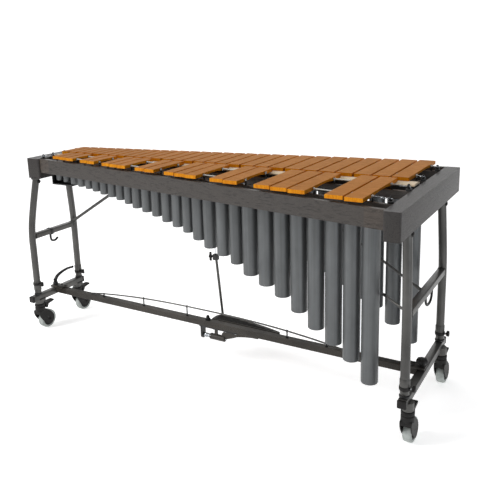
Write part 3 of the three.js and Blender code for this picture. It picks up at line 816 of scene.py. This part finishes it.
def resonator_bank(name, places, centre, share):
    """A row of stopped tubes that hang on a folded strip, each a share of its note's quarter wave long."""
    shape = Shape()
    tubes = []
    for (x, _, note, _), diameter in zip(places, TUBE_DIAMETERS):
        r = diameter / 2
        bottom = TUBE_TOP - share * quarter_wave(note)
        inside = r - TUBE_WALL
        profile = [
            (0, bottom + 1.2),
            (r * 0.72, bottom + 0.6),
            (r * 0.8, bottom),
            (r - 2.4, bottom + 0.3),
            (r - 0.7, bottom + 1.4),
            (r, bottom + 3.4),
            (r, TUBE_TOP - 0.5),
            (r - 0.4, TUBE_TOP),
            (inside, TUBE_TOP),
            (inside, bottom + 6),
            (0, bottom + 6),
        ]
        tube = lathe(profile, 40, shift(x, centre(x)))

        # Faces inside the tube and on its inner floor take the near-black painted shade.
        def painted_shade_face(face, x=x, y=centre(x), limit=inside):
            middle = face.calc_center_median()
            deep = math.hypot(middle.x - x, middle.y - y) < limit + 0.05 and middle.z > bottom + 4
            return TUBE_INSIDE_PAINTED_SHADE if deep and middle.z < TUBE_TOP - 0.2 else None

        shape.take(tube, TUBE_GREY, painted_shade_face)
        tubes.append((x, r))
    tubes = [(tubes[0][0] + 34, 0.0)] + tubes + [(tubes[-1][0] - 22, 0.0)]
    for (xa, ra), (xb, rb) in zip(tubes, tubes[1:]):
        a, b = xa - ra * 0.99, xb + rb * 0.99
        for z0, z1, half in ((768, 784, 2), (782, 785.4, 7)):
            shape.take(slab(strip(a, b, centre, half), z0, z1, 0.5), TUBE_GREY)
    shape.build(f"{name}_tubes", "frame", "grey_tubes", name, smooth=38)


def accidental_centre(x):
    return mix(-BAR_INNER, accidental_end(x), 0.5)


def natural_centre(x):
    return mix(BAR_INNER, natural_end(x), 0.5)


def tube_tray():
    """The tray under the shortest tubes, folded from sheet."""
    left, right, depth, bottom = -793, -668, 24, 728
    y = accidental_centre((left + right) / 2)
    section = [
        (y - depth, bottom + 5),
        (y - depth, bottom),
        (y + depth, bottom),
        (y + depth, 774),
        (y + depth - 2.4, 774),
        (y + depth - 2.4, bottom + 2.4),
        (y - depth + 2.4, bottom + 2.4),
        (y - depth + 2.4, bottom + 5),
    ]
    shape = Shape()
    shape.take(side_plate(section, left, right, 0.6), BLACK)
    for x in (left, left + 22):
        shape.take(block((x, y - 1, 768), (x + 3, y + depth - 1, 774), 0.5), BLACK)
    shape.take(block((left, y - depth + 0.4, bottom + 0.4), (left + 3, y + depth - 2.6, 768), 0.8), BLACK)
    shape.build("tube_tray_sheet", "frame", "black_metal", "accidental_resonators")


resonator_bank("accidental_resonators", spaces, accidental_centre, 0.985)
resonator_bank("natural_resonators", naturals, natural_centre, 0.925)
tube_tray()


# ---------------------------------------------------------------- damper
damper_half = line_between(19.5, 34)


def rod_point(z):
    """A point on the leaning line of the pull rod."""
    return Vector((ROD_X, ROD_Y0 + ROD_LEAN * z, z))


def damper():
    """The damper bar, its felt, and the two ears and pin that the pull rod hooks on."""
    left, right = -838, 866
    bar_shape = Shape()
    outline = [(left, -damper_half(left)), (right, -damper_half(right))]
    outline += [(x, -y) for x, y in reversed(outline)]
    bar_shape.take(slab(outline, 830, 845.4, 1.6, 3), BLACK)
    y = ROD_Y0 + ROD_LEAN * ROD_TOP
    for x in (ROD_X - 8, ROD_X + 8):
        ear = [(y - 24, 831), (y - 24, 822), *arc((y - 3, 822), 8, 200, 340, 6), (y + 8, 824), (y + 8, 831)]
        bar_shape.take(side_plate(ear, x - 2, x + 2, 0.6), BLACK)
    bar_shape.take(rod((ROD_X - 13, y - 3, 822), (ROD_X + 13, y - 3, 822), 2.0), ZINC)
    bar_shape.build("damper_bar_metal", "damper", "black_aluminium", "damper_bar")

    felt = Shape()

    def section(x):
        half = damper_half(x) - 2
        foot, shoulder, crown = 845.8, 849.5, 4.3
        rim = [(-half, foot), (-half, shoulder)]
        for i in range(1, 12):
            t = -1 + 2 * i / 12
            rim.append((half * t, shoulder + crown * (1 - abs(t) ** 3.2)))
        rim += [(half, shoulder), (half, foot)]
        return [(x, y, z) for y, z in rim]

    stations = [mix(left, right, i / 24) for i in range(25)]
    felt.take(loft([section(x) for x in stations]), FELT)
    felt.build("damper_felt_pad", "damper", "felt", "damper_felt", smooth=40)


damper()


# ---------------------------------------------------------------- legs, crossbars and braces
def leg_line(end, side):
    """The line of a leg: straight up from its foot, then bent towards its head."""
    x, head_x = SIGN[end] * LEG_X, LEG_HEAD_X[end]
    foot, top = LEG_Y[end]
    s = SIGN[side]
    head = PANEL_BOTTOM - 0.5
    turn = [
        (x, s * foot, LEG_BEND - 90),
        (x, s * foot, LEG_BEND - 30),
        (mix(x, head_x, 0.12), s * mix(foot, top, 0.12), LEG_BEND + 40),
        (mix(x, head_x, 0.5), s * mix(foot, top, 0.5), mix(LEG_BEND, head, 0.55)),
        (head_x, s * top, head),
    ]
    path = smooth_path(turn, 7)
    return [Vector((x, s * foot, LEG_FOOT)), Vector((x, s * foot, 300))] + path


def leg(end, side):
    """A bent tube, bored from below for the inner tube, with its sleeve, head plate and clamp collar."""
    name = f"{end}_{side}"
    path = leg_line(end, side)
    x, y, _ = path[0]
    sides = 28
    bm = sweep(path, circle(LEG_RADIUS, sides), up=(0, 1, 0))
    bm.faces.ensure_lookup_table()
    foot_face = min((f for f in bm.faces if len(f.verts) == sides), key=lambda f: f.calc_center_median().z)
    rim = list(foot_face.verts)
    bm.faces.remove(foot_face)
    loops = [rim]
    for z in (LEG_FOOT, BORE_TOP):
        loop = []
        for v in rim:
            reach = Vector((v.co.x - x, v.co.y - y)).normalized() * LEG_BORE
            loop.append(bm.verts.new((x + reach.x, y + reach.y, z)))
        loops.append(loop)
    for outer, inner in zip(loops, loops[1:]):
        wall(bm, outer, inner)
    bm.faces.new(loops[-1])
    bmesh.ops.recalc_face_normals(bm, faces=bm.faces)
    shape = Shape()
    shape.take(bm, FRAME_GREY)
    sleeve = [(12.9, 0), (16.8, 0), (17.4, 0.8), (17.4, 40), (15.6, 44), (12.9, 44)]
    shape.take(ring(sleeve, 32, shift(x, y, LEG_FOOT)), FRAME_GREY)
    head = path[-1]
    plate = [(0, head.z - 5), (22, head.z - 5), (23, head.z - 4), (23, head.z), (0, head.z)]
    shape.take(lathe(plate, 28, shift(head.x, head.y)), FRAME_GREY)
    shape.build(f"{name}_leg_tube", "frame", "grey_frame", f"{name}_leg", smooth=40)

    collar = Shape()
    z = CLAMP_Z[name] - LEG_FOOT
    loop = [(15.4, z - 6), (18.6, z - 6), (19, z - 5), (19, z + 5), (18.6, z + 6), (15.4, z + 6)]
    collar.take(ring(loop, 32, shift(x, y, LEG_FOOT)), PLASTIC)
    for i in range(3):
        a = math.radians(90 + 120 * i)
        at = Vector((head.x + 18.6 * math.cos(a), head.y + 18.6 * math.sin(a), head.z - 5))
        collar.take(bolt(at, at + Vector((0, 0, -1)), 2.6, 2.4), BLACK)
    for turn in (-1, 1):
        at = Vector((head.x + turn * 14, head.y, head.z - 16))
        cap = [(0, 0), (7, 0), (8, 1.2), (8, 5), (6.4, 6.4), (3.6, 7), (0, 7)]
        collar.take(lathe(cap, 18, sideways(*at, turn)), PLASTIC)
    collar.build(f"{name}_leg_collar", "frame", "black_plastic", f"{name}_leg")


def leg_crossbar(end):
    """The square tube between two legs, with the cable hook under it."""
    x = SIGN[end] * LEG_X
    reach = LEG_Y[end][0] - LEG_RADIUS + 1.5
    shape = Shape()
    shape.take(block((x - 14, -reach, 462), (x + 14, reach, 486), 2.4, 3), FRAME_GREY)
    for s in (-1, 1):
        near, far = s * (reach - 2.6), s * (reach - 0.2)
        shape.take(block((x - 15.2, near, 460.8), (x + 15.2, far, 487.2), 1.1), FRAME_GREY)
    shape.build(f"{end}_end_crossbar_tube", "frame", "grey_frame", f"{end}_end_leg_crossbar")
    hook = Shape()
    if end == "high":
        path = [(x, -24, 463), (x, -24, 440), (x, -19, 427), (x, -6, 421), (x, 9, 423), (x, 19, 431)]
        hook.take(sweep(smooth_path(path, 5), circle(5.2, 14), up=(1, 0, 0)), BLACK)
        hook.take(block((x - 16, -32, 459), (x + 16, -16, 488), 1.6), BLACK)
    else:
        path = [(x, -3, 463), (x, -4, 444), (x, 2, 424), (x, 18, 412), (x, 40, 409)]
        path += [(x, 62, 412), (x, 76, 424), (x, 81, 444), (x, 80, 463)]
        hook.take(sweep(smooth_path(path, 5), circle(4.4, 12), up=(1, 0, 0)), BLACK)
        for y in (-3, 80):
            hook.take(rod((x, y, 456), (x, y, 462.5), 8, 20), BLACK)
    hook.build(f"{end}_end_hook", "frame", "black_metal", f"{end}_end_leg_crossbar")


def brace(name, a, b, radius):
    """A round bar with flattened, bolted ends."""
    shape = Shape()
    a, b = Vector(a), Vector(b)
    along = (b - a).normalized()
    length = (b - a).length
    flat = 22.0

    def section(t):
        distance = min(t, 1 - t) * length
        k = min(1.0, max(0.0, (distance - flat * 0.6) / (flat * 0.8)))
        wide, thin = mix(radius * 1.5, radius, k), mix(radius * 0.35, radius, k)
        return ellipse(wide, thin, 16)

    side = along.cross(Vector((0, 1, 0))).normalized()
    up = side.cross(along)
    stops = [0.0, flat * 0.6 / length, flat / length, flat * 1.4 / length]
    stops = stops + [1 - s for s in reversed(stops)]
    rings = [[a + along * (length * t) + side * u + up * v for u, v in section(t)] for t in stops]
    shape.take(loft(rings), FRAME_GREY)
    shape.build(f"{name}_bar", "frame", "grey_frame", name, smooth=45)
    screws = Shape()
    for end, inward in ((a, 1), (b, -1)):
        at = end + along * (inward * 7)
        screws.take(bolt(at + up * (radius * 0.3), at + up * (radius * 0.3 + 1), 4.2, 3.4), BLACK)
    screws.build(f"{name}_screws", "frame", "black_metal", name)


for end, side in CORNERS:
    leg(end, side)
for end in ("low", "high"):
    leg_crossbar(end)
brace("low_end_brace", (891, -6, 476), (455, -76, 786), 4.5)
brace("high_end_brace", (-892, 112, 492), (-455, 152, 768), 7)
brace("resonator_stay", (891, -206, 478), (806, -160, 500), 3.5)


# ---------------------------------------------------------------- clamp knobs and inner tubes
def leg_place(end, side):
    return SIGN[end] * LEG_X, SIGN[side] * LEG_Y[end][0]


def clamp_knob(end, side):
    """A three-lobed knob on the screw of a leg clamp."""
    name = f"{end}_{side}"
    x, y = leg_place(end, side)
    x += 19.3
    z = CLAMP_Z[name]
    place = sideways(x, y, z)
    turn = place @ Matrix.Rotation(math.radians(30), 4, "Z")
    shape = Shape()
    grip = [(0, 4.6), (6, 4.6), (9, 5.6), (12.4, 7.4), (12.8, 9.5)]
    grip += [(12.8, 13.5), (11.6, 15.8), (8, 16.8), (0, 17)]
    shape.take(lobed(grip, 3, 0.36, 42, turn), PLASTIC)
    shape.take(lathe([(0, 0), (3.6, 0), (3.6, 5.5), (0, 5.5)], 14, place), ZINC)
    shape.build(f"{name}_knob_grip", f"{name}_knob", "black_plastic", f"{name}_clamp_knob", smooth=45)


def inner_tube(end, side):
    """The bright tube that slides in a leg, with its flange and boot on the base beam."""
    name = f"{end}_{side}"
    x, y = leg_place(end, side)
    place = shift(x, y)
    shape = Shape()
    foot = BASE_TOP + 0.3
    r, top = INNER_TUBE_RADIUS, INNER_TUBE_TOP
    profile = [(0, foot), (r - 1, foot), (r, foot + 1), (r, top - 2), (r - 1, top), (0, top)]
    shape.take(lathe(profile, 28, place), SATIN_STEEL)
    flange = [(12.1, 0), (17, 0), (18, 1), (18, 6), (16.6, 7.4), (13.4, 9), (12.1, 9)]
    shape.take(ring(flange, 28, place @ shift(0, 0, foot)), BLACK)
    boot = [(12.1, 9), (15, 9), (15.5, 9.6), (15.5, 22.4), (14.9, 23), (12.1, 23)]
    shape.take(ring(boot, 28, place @ shift(0, 0, foot)), FRAME_GREY)
    shape.build(f"{name}_inner_tube_steel", "base", "bright_steel", f"{name}_inner_tube", smooth=40)


for end, side in CORNERS:
    clamp_knob(end, side)
    inner_tube(end, side)


# ---------------------------------------------------------------- base beams and the long beam
def caster_place(end, side):
    return SIGN[end] * CASTER_X, SIGN[side] * (LEG_Y[end][0] - CASTER_INSET)


def base_beam(end):
    """The tube across the feet, with the bosses that hold the casters and a cap at each end."""
    x = SIGN[end] * LEG_X
    y0, y1 = BASE_Y[end]
    shape = Shape()
    shape.take(block((x - 15, y0 + 9, BASE_BOTTOM), (x + 15, y1 - 9, BASE_TOP), 2.6, 3), FRAME_GREY)
    for side in ("front", "back"):
        cx, cy = caster_place(end, side)
        corner = (SIGN[end] * (LEG_X - 15), cy - 20, BASE_BOTTOM - 8)
        shape.take(block(corner, (cx, cy + 20, BASE_BOTTOM + 10), 2.0), FRAME_GREY)
        boss = [(0, 134.4), (19, 134.4), (20, 135.4), (20, 165.6), (18.8, 166.8), (0, 167)]
        shape.take(lathe(boss, 32, shift(cx, cy)), FRAME_GREY)
    shape.build(f"{end}_end_base_tube", "base", "grey_frame", f"{end}_end_base_beam")
    caps = Shape()
    for near, far in ((y0, y0 + 10), (y1 - 10, y1)):
        corner = (x - 15.4, near, BASE_BOTTOM - 0.4)
        caps.take(block(corner, (x + 15.4, far, BASE_TOP + 0.2), 3.2, 4), PLASTIC)
    caps.build(f"{end}_end_base_caps", "base", "black_plastic", f"{end}_end_base_beam")


def long_beam():
    """The long beam, extruded with fine grooves along its faces, and the plates that screw it down."""
    reach = LEG_X - 15.3
    shape = Shape()
    y0, y1, z0, z1 = BEAM_FRONT, BEAM_BACK, BEAM_BOTTOM, BEAM_TOP
    grooves = [z0 + up for up in (6, 11, 16, 21)]
    section = [(y0 + 1.5, z0), (y1 - 1.5, z0), (y1, z0 + 1.5)]
    for z in grooves:
        section += [(y1, z - 0.9), (y1 - 1, z), (y1, z + 0.9)]
    section += [(y1, z1 - 1.5), (y1 - 1.5, z1)]
    for y in (-14, -20, -26, -32):
        section += [(y + 0.9, z1), (y, z1 - 1), (y - 0.9, z1)]
    section += [(y0 + 1.5, z1), (y0, z1 - 1.5)]
    for z in reversed(grooves):
        section += [(y0, z + 0.9), (y0 + 1, z), (y0, z - 0.9)]
    section += [(y0, z0 + 1.5)]
    shape.take(side_plate(section, -reach, reach, 0), BEAM_GREY)
    for s in (-1, 1):
        corner = (s * (reach - 46), y0 - 6, z1 - 0.5)
        shape.take(block(corner, (s * (LEG_X + 15), y1 + 6, z1 + 8), 2.0, 3), BEAM_GREY)
    shape.build("crossbeam_metal", "base", "beam_metal", "crossbeam", smooth=24)
    screws = Shape()
    for s in (-1, 1):
        for dx in (-38, -16):
            for y in (y0 + 3, y1 - 3):
                at = (s * (reach + dx), y, z1 + 8)
                screws.take(bolt(at, (at[0], y, z1 + 9), 4.2, 2.8), BLACK)
    screws.build("crossbeam_screws", "base", "black_metal", "crossbeam")


def truss():
    """The bowed rod over the beam and the short posts that hold it up."""
    y = (BEAM_FRONT + BEAM_BACK) / 2
    left, right, radius, rise = -670, 600, 3.2, 231
    low = BEAM_TOP + 0.3 + radius

    def height(x):
        u = 2 * (x - left) / (right - left) - 1
        return low + (rise - low) * (1 - abs(u) ** 2.4)

    shape = Shape()
    stations = [mix(left, right, i / 60) for i in range(61)]
    shape.take(sweep([(x, y, height(x)) for x in stations], circle(radius, 14)), FRAME_GREY)
    for x in (-590, -350, -110, 375, 545):
        top = height(x)
        foot = BEAM_TOP + 0.4
        profile = [(0, foot), (6, foot), (6, foot + 2), (3, foot + 3), (3, top - 3), (4.4, top - 3)]
        profile += [(4.4, top + 3.4), (3.4, top + 4.4), (0, top + 4.4)]
        shape.take(lathe(profile, 14, shift(x, y)), BLACK)
    shape.build("truss_rod_steel", "base", "grey_frame", "truss_rod", smooth=40)


def beam_locks():
    """The lever that locks the long beam at its high end, and the knob at its low end."""
    top = BEAM_TOP + 8.6
    lever = Shape()
    x = -LEG_X
    foot = [(0, 0), (11, 0), (12, 1), (12, 10), (10.4, 12), (5, 13), (0, 13)]
    lever.take(lathe(foot, 28, shift(x, -23, top)), BLACK)
    lever.take(block((x - 6, -30, top + 10), (x + 6, -15, top + 30), 2.4, 3), PLASTIC)
    reach = [(x, -22, top + 22), (x, -8, top + 38), (x, 24, top + 50), (x, 62, top + 55), (x, 94, top + 53)]
    path = smooth_path(reach, 6)
    lever.take(sweep(path, ellipse(8, 7, 16), (0, -0.3, 1), (1.15, 0.75)), BLACK)
    ball = [(0, -6.4), (3.4, -5.6), (5.6, -3.4), (6.4, 0), (5.6, 3.4), (3.4, 5.6), (0, 6.4)]
    lever.take(lathe(ball, 18, shift(x, 96, top + 53)), PLASTIC)
    lever.build("beam_lock_lever_arm", "lock_lever", "black_metal", "beam_lock_lever", smooth=40)
    knob = Shape()
    grip = [(0, 0), (8, 0), (8, 7), (14, 8), (18.6, 10), (20.6, 13)]
    grip += [(21, 18), (20, 22), (17, 25.4), (8, 26.8), (0, 27)]
    knob.take(lobed(grip, 7, 0.12, 56, shift(LEG_X, -23, top)), PLASTIC)
    knob.build("beam_lock_knob_grip", "lock_knob", "black_plastic", "beam_lock_knob", smooth=45)


for end in ("low", "high"):
    base_beam(end)
long_beam()
truss()
beam_locks()


# ---------------------------------------------------------------- pedal and pull rod
def pedal():
    """The pedal plate on its arched web, with the hub, the rod's tongue and the rubber grips."""
    left, right, near, far, far_right, top, thick = 6, 330, -4, 50, 8, 192, 8
    plan = [(left, near), (right, near), (right, far_right - 6)]
    bend(plan, (right - 2, far_right), (right - 12, far_right + 2), 5)
    bend(plan, (190, far - 6), (70, far), 14)
    plan += [(left + 30, far)]
    bend(plan, (left, far), (left, far - 30), 7)
    shape = Shape()
    shape.take(slab(plan, top - thick, top - 1, 1.6, 3), BEAM_GREY)
    arch = [(30, PIN_Z - 12)]
    bend(arch, (100, PIN_Z + 2), (140, PIN_Z + 22), 8)
    bend(arch, (190, PIN_Z + 34), (240, PIN_Z + 36), 8)
    arch += [(240, PIN_Z + 40), (90, PIN_Z + 40)]
    bend(arch, (62, PIN_Z + 30), (66, PIN_Z + 12), 6)
    arch += [(58, PIN_Z + 8), (42, PIN_Z + 12), (42, PIN_Z + 40), (30, PIN_Z + 40)]
    shape.take(front_plate(arch, PIN_Y - 4.5, PIN_Y + 4.5, 1.0), BEAM_GREY)
    shape.take(block((30, PIN_Y - 4, PIN_Z + 34), (240, near + 12, PIN_Z + 40), 1.0), BEAM_GREY)
    shape.take(block((30, near + 2, PIN_Z + 34), (240, near + 12, top - 2), 1.0), BEAM_GREY)
    shape.take(block((ROD_X - 3, far - 22, 142), (ROD_X + 3, far - 8, top - 2), 1.0), BEAM_GREY)
    shape.take(block((ROD_X - 3, far - 14, 140), (ROD_X + 3, far + 8, 150), 1.0), BEAM_GREY)
    hub = [(5.5, 8), (12, 8), (13, 9), (13, 79), (12, 80), (5.5, 80)]
    shape.take(ring(hub, 28, sideways(0, PIN_Y, PIN_Z)), BEAM_GREY)
    shape.build("pedal_metal", "pedal", "beam_metal", "pedal")
    grip = Shape()
    for i in range(5):
        y = 4 + 8 * i
        reach = mix(300, 120, i / 4)
        grip.take(block((20, y - 2, top - 1.4), (reach, y + 2, top), 0.5), RUBBER)
    foot = [(0, 0), (4, 0.4), (7, 2.6), (8.4, 7), (7, 11.4), (4, 13.6), (0, 14)]
    grip.take(lathe(foot, 20, shift(60, 22, 168)), RUBBER)
    grip.build("pedal_grip_strips", "pedal", "black_plastic", "pedal")


def pedal_bracket():
    """The hanger under the beam, the pin and spring of the pedal, and the bumper over them."""
    top = BEAM_BOTTOM - 0.4
    shape = Shape()
    shape.take(block((-40, BEAM_FRONT + 2, top - 5), (150, BEAM_BACK - 2, top), 1.0), BLACK)
    ear = [(PIN_Y - 16, top - 2), (PIN_Y - 16, PIN_Z)]
    ear += [*arc((PIN_Y - 2, PIN_Z), 14, 180, 360, 10), (PIN_Y + 12, top - 2)]
    shape.take(side_plate(ear, -34, -26, 1.0), BLACK)
    shape.build("pedal_bracket_steel", "base", "black_metal", "pedal_bracket")
    pin = Shape()
    profile = [(0, 0), (8, 0), (9, 1), (9, 5), (5, 6), (5, 121), (4, 122.4), (0, 122.4)]
    pin.take(lathe(profile, 20, sideways(-36, PIN_Y, PIN_Z)), CHROME)
    pin.take(coil((-24, PIN_Y, PIN_Z), (5, PIN_Y, PIN_Z), 8.6, 1.4, 6), CHROME)
    for x in (-30, 30, 90, 140):
        pin.take(bolt((x, BEAM_FRONT + 8, top - 5), (x, BEAM_FRONT + 8, top - 6), 4.4, 3.2), ZINC)
    pin.build("pedal_pin_and_spring", "base", "bright_steel", "pedal_bracket")
    bumper = Shape()
    profile = [(0, 0.2), (11, 0.2), (12, 1.4), (11, 6), (7.6, 9), (7.4, 14), (6, 19), (3, 21.6), (0, 22)]
    bumper.take(lathe(profile, 24, shift(-2, -23, BEAM_TOP)), RUBBER)
    bumper.build("beam_bumper", "base", "black_plastic")


def pull_rods():
    """The lower tube with its clamp, and the bright rod that slides in it."""
    foot, clamp, top = rod_point(ROD_FOOT), rod_point(ROD_CLAMP), rod_point(ROD_TOP)
    lower = Shape()
    bore_from = (rod_point(198) - foot).length
    length = (clamp - foot).length
    profile = [(0, 0), (4.8, 0), (5.5, 0.8), (5.5, length), (4.0, length), (4.0, bore_from), (0, bore_from)]
    lower.take(lathe(profile, 22, frame_to(foot, clamp)), FRAME_GREY)
    lower.build("pull_rod_lower_tube", "rod_lower", "grey_frame", "pull_rod_lower", smooth=40)
    clamps = Shape()
    x, y, z = clamp
    for side in (-1, 1):
        clamps.take(block((x + side * 11, y - 9, z - 24), (x + side * 4.1, y + 10, z + 1), 1.4), BLACK)
    for s in (-1, 1):
        near, far = y + s * 4.1 + 0.5, y + s * 9.4 + 0.5
        clamps.take(block((x - 5, near, z - 24), (x + 5, far, z + 1), 0.8), BLACK)
    clamps.build("pull_rod_clamp", "rod_lower", "black_metal", "pull_rod_lower")
    upper = Shape()
    upper.take(rod(rod_point(330), top, 2.8, 16), CHROME)
    upper.build("pull_rod_upper_steel", "rod_upper", "bright_steel", "pull_rod_upper", smooth=40)


def wing_knob():
    """The two-winged knob of the rod clamp."""
    x, y = ROD_X - 11.4, rod_point(ROD_CLAMP).y
    z = 458
    shape = Shape()
    hub = [(0, 0), (3.4, 0), (3.4, 8.6), (6.4, 9), (7, 10), (7, 20.4), (5.6, 21.8), (0, 22)]
    shape.take(lathe(hub, 22, sideways(x, y, z, -1)), PLASTIC)
    wing = [(y - 5, z - 3), (y - 4.4, z - 14), *arc((y, z - 15.6), 4.4, 180, 360, 6), (y + 5, z - 3)]
    wing += [(y + 5, z + 3), (y + 4.4, z + 14), *arc((y, z + 15.6), 4.4, 0, 180, 6), (y - 5, z + 3)]
    shape.take(side_plate(wing, x - 18.6, x - 12, 1.2), PLASTIC)
    shape.build("rod_wing_knob_grip", "wing_knob", "black_plastic", "rod_wing_knob")


pedal()
pedal_bracket()
pull_rods()
wing_knob()


# ---------------------------------------------------------------- casters
def caster_fork(name, at):
    """A swivel head with two cheeks and the hood between them."""
    shape = Shape()
    low = 2 * WHEEL + 4
    head = [(0, low + 1), (20, low + 1), (23.3, low + 4), (23.3, 116), (21, 118), (21, 121), (23.3, 123)]
    head += [(23.3, HEAD_TOP - 3), (22, HEAD_TOP - 0.4), (0, HEAD_TOP)]
    shape.take(lathe(head, 36, at), PLASTIC)
    cheek = [(22, low + 8), (-20, low + 8), (-23, low + 2)]
    bend(cheek, (-24, 66), (TRAIL - 22, 30), 8)
    bend(cheek, (TRAIL - 6, 10), (TRAIL + 14, 22), 7)
    bend(cheek, (TRAIL + 34, 34), (TRAIL + 24, 62), 7)
    bend(cheek, (TRAIL + 14, 82), (24, low + 4), 7)
    for x0, x1 in ((FORK_HALF - 3.6, FORK_HALF), (-FORK_HALF, 3.6 - FORK_HALF)):
        shape.take(turned(side_plate(cheek, x0, x1, 1.4), at), PLASTIC)
    hood = [(24, low + 7.8), (-20, low + 7.8), (-22.6, low + 2), (-22.9, low - 8), (-21.4, low - 9)]
    hood += [(-18, low - 2), (-12, low + 0.6), (24, low + 0.6)]
    shape.take(turned(side_plate(hood, 0.4 - FORK_HALF, FORK_HALF - 0.4, 0.8), at), PLASTIC)
    node = f"{name}_caster_fork"
    shape.build(f"{name}_fork_shell", f"{name}_fork", "black_plastic", node, smooth=38)


def caster_axle(name, at):
    shape = Shape()
    end = 2 * FORK_HALF - 0.2
    pin = [(0, 0.2), (4, 0.2), (4, end), (0, end)]
    shape.take(lathe(pin, 16, at @ sideways(-FORK_HALF, TRAIL, WHEEL)), ZINC)
    h = FORK_HALF
    nut = [(0, h - 1), (6.4, h - 1), (6.4, h - 0.2), (5, h), (0, h)]
    for s in (-1, 1):
        shape.take(lathe(nut, 6, at @ sideways(0, TRAIL, WHEEL, s)), ZINC)
    shape.build(f"{name}_axle", f"{name}_fork", "bright_steel", f"{name}_caster_fork")


def caster_wheel(name, at):
    """A tyre with rounded shoulders, and a spoked hub."""
    r, w = WHEEL, TYRE_WIDE / 2
    centre = at @ sideways(0, TRAIL, WHEEL)
    tyre, hub = Shape(), Shape()
    loop = [(r - 11, -w + 1), (r - 5, -w), (r - 2, -w + 1.6), (r - 0.4, -w + 4.6), (r, -w + 8)]
    loop += [(x, -z) for x, z in reversed(loop)]
    tyre.take(ring(loop, 48, centre), TYRE)
    tyre.build(f"{name}_tyre", f"{name}_wheel", "grey_tyre", f"{name}_caster_wheel", smooth=45)
    loop = [(4.5, -w + 0.5), (10, -w + 0.5), (11, -w + 3), (r - 17, -w + 3.6), (r - 15, -w + 1)]
    loop += [(r - 11.1, -w + 1)]
    loop += [(x, -z) for x, z in reversed(loop)]
    hub.take(ring(loop, 40, centre), HUB)
    for i in range(6):
        spoke = block((10.4, -1.6, -w + 1.2), (r - 16, 1.6, w - 1.2), 0.6)
        hub.take(turned(spoke, centre @ Matrix.Rotation(math.pi * i / 3, 4, "Z")), HUB)
    hub.build(f"{name}_hub", f"{name}_wheel", "black_plastic", f"{name}_caster_wheel", smooth=40)


def caster_brake(name, at):
    """The brake lever, ribbed where the toe presses."""
    shape = Shape()
    z = HEAD_TOP - 18
    outline = [(24.7, z + 2), (29.8, z - 14), (36, z - 14), (44, z + 2), (TRAIL + 41, z + 8)]
    outline += [(TRAIL + 42.6, z + 11), (TRAIL + 42.6, z + 14), (44, z + 15), (24.7, z + 16)]
    shape.take(turned(side_plate(outline, -13, 13, 1.4), at), PLASTIC)
    for y in (52, 59, 66, 73):
        shape.take(turned(block((-10, y - 1.2, z + 13.2), (10, y + 1.2, z + 15.6), 0.5), at), PLASTIC)
    shape.build(f"{name}_brake_lever", f"{name}_brake", "black_plastic", f"{name}_caster_brake")


for end, side in CORNERS:
    for make in (caster_fork, caster_axle, caster_wheel, caster_brake):
        make(f"{end}_{side}", shift(*caster_place(end, side)))


# ---------------------------------------------------------------- room and light
def backdrop():
    """A round sheet of white paper that curves up behind the object."""
    n = Nodes("studio_paper")
    soft = n.noise(0.7, detail=2.0)
    paper = n.set(
        Base_Color=n.blend(soft, 0.90, 0.93),
        Roughness=0.95,
        Specular_IOR_Level=0.0,
        Emission_Color=(1, 1, 1, 1),
        Emission_Strength=0.5,
    )
    sides, first, last = 96, 23, 42
    floor_radius, cove, wall_top = 5.5, 2.0, 6.0
    profile = [(floor_radius, 0)]
    for a in range(10, 91, 10):
        turn = math.radians(a)
        profile.append((floor_radius + cove * math.sin(turn), cove - cove * math.cos(turn)))
    profile.append((floor_radius + cove, wall_top))
    bm = bmesh.new()
    rings = [[bm.verts.new((x, y, z)) for x, y in circle(r, sides)] for r, z in profile]
    bm.faces.new(rings[0])
    for lower, upper in zip(rings, rings[1:]):
        for i in range(first, last):
            bm.faces.new((upper[i], upper[i + 1], lower[i + 1], lower[i]))
    loose = [v for v in bm.verts if not v.link_faces]
    bmesh.ops.delete(bm, geom=loose, context="VERTS")
    mesh = bpy.data.meshes.new("backdrop")
    bm.to_mesh(mesh)
    bm.free()
    mesh.materials.append(paper)
    mesh.shade_smooth()
    floor = bpy.data.objects.new("backdrop", mesh)
    bpy.context.scene.collection.objects.link(floor)


def sky():
    world = bpy.data.worlds.new("studio")
    bpy.context.scene.world = world
    world.use_nodes = True
    background = world.node_tree.nodes["Background"]
    background.inputs["Color"].default_value = (1.0, 1.0, 1.0, 1)
    background.inputs["Strength"].default_value = 0.36
    bpy.context.scene.view_settings.view_transform = "Standard"


def softbox(name, place, aim, size, power, tint=(1, 1, 1)):
    data = bpy.data.lights.new(name, "AREA")
    data.shape = "RECTANGLE"
    data.size, data.size_y = size
    data.energy = power
    data.color = tint
    lamp = bpy.data.objects.new(name, data)
    lamp.location = place
    lamp.rotation_euler = (Vector(aim) - Vector(place)).to_track_quat("-Z", "Y").to_euler()
    bpy.context.scene.collection.objects.link(lamp)


backdrop()
sky()
softbox("key", (-2.6, -3.2, 3.2), (0, 0, 0.5), (1.2, 2.4), 150)
softbox("fill", (3.6, -1.2, 1.2), (0.5, 0, 0.5), (0.26, 2.4), 18, (0.86, 0.93, 1))
softbox("top", (0, 0.4, 4.2), (0, 0, 0.6), (4.0, 2.4), 60)
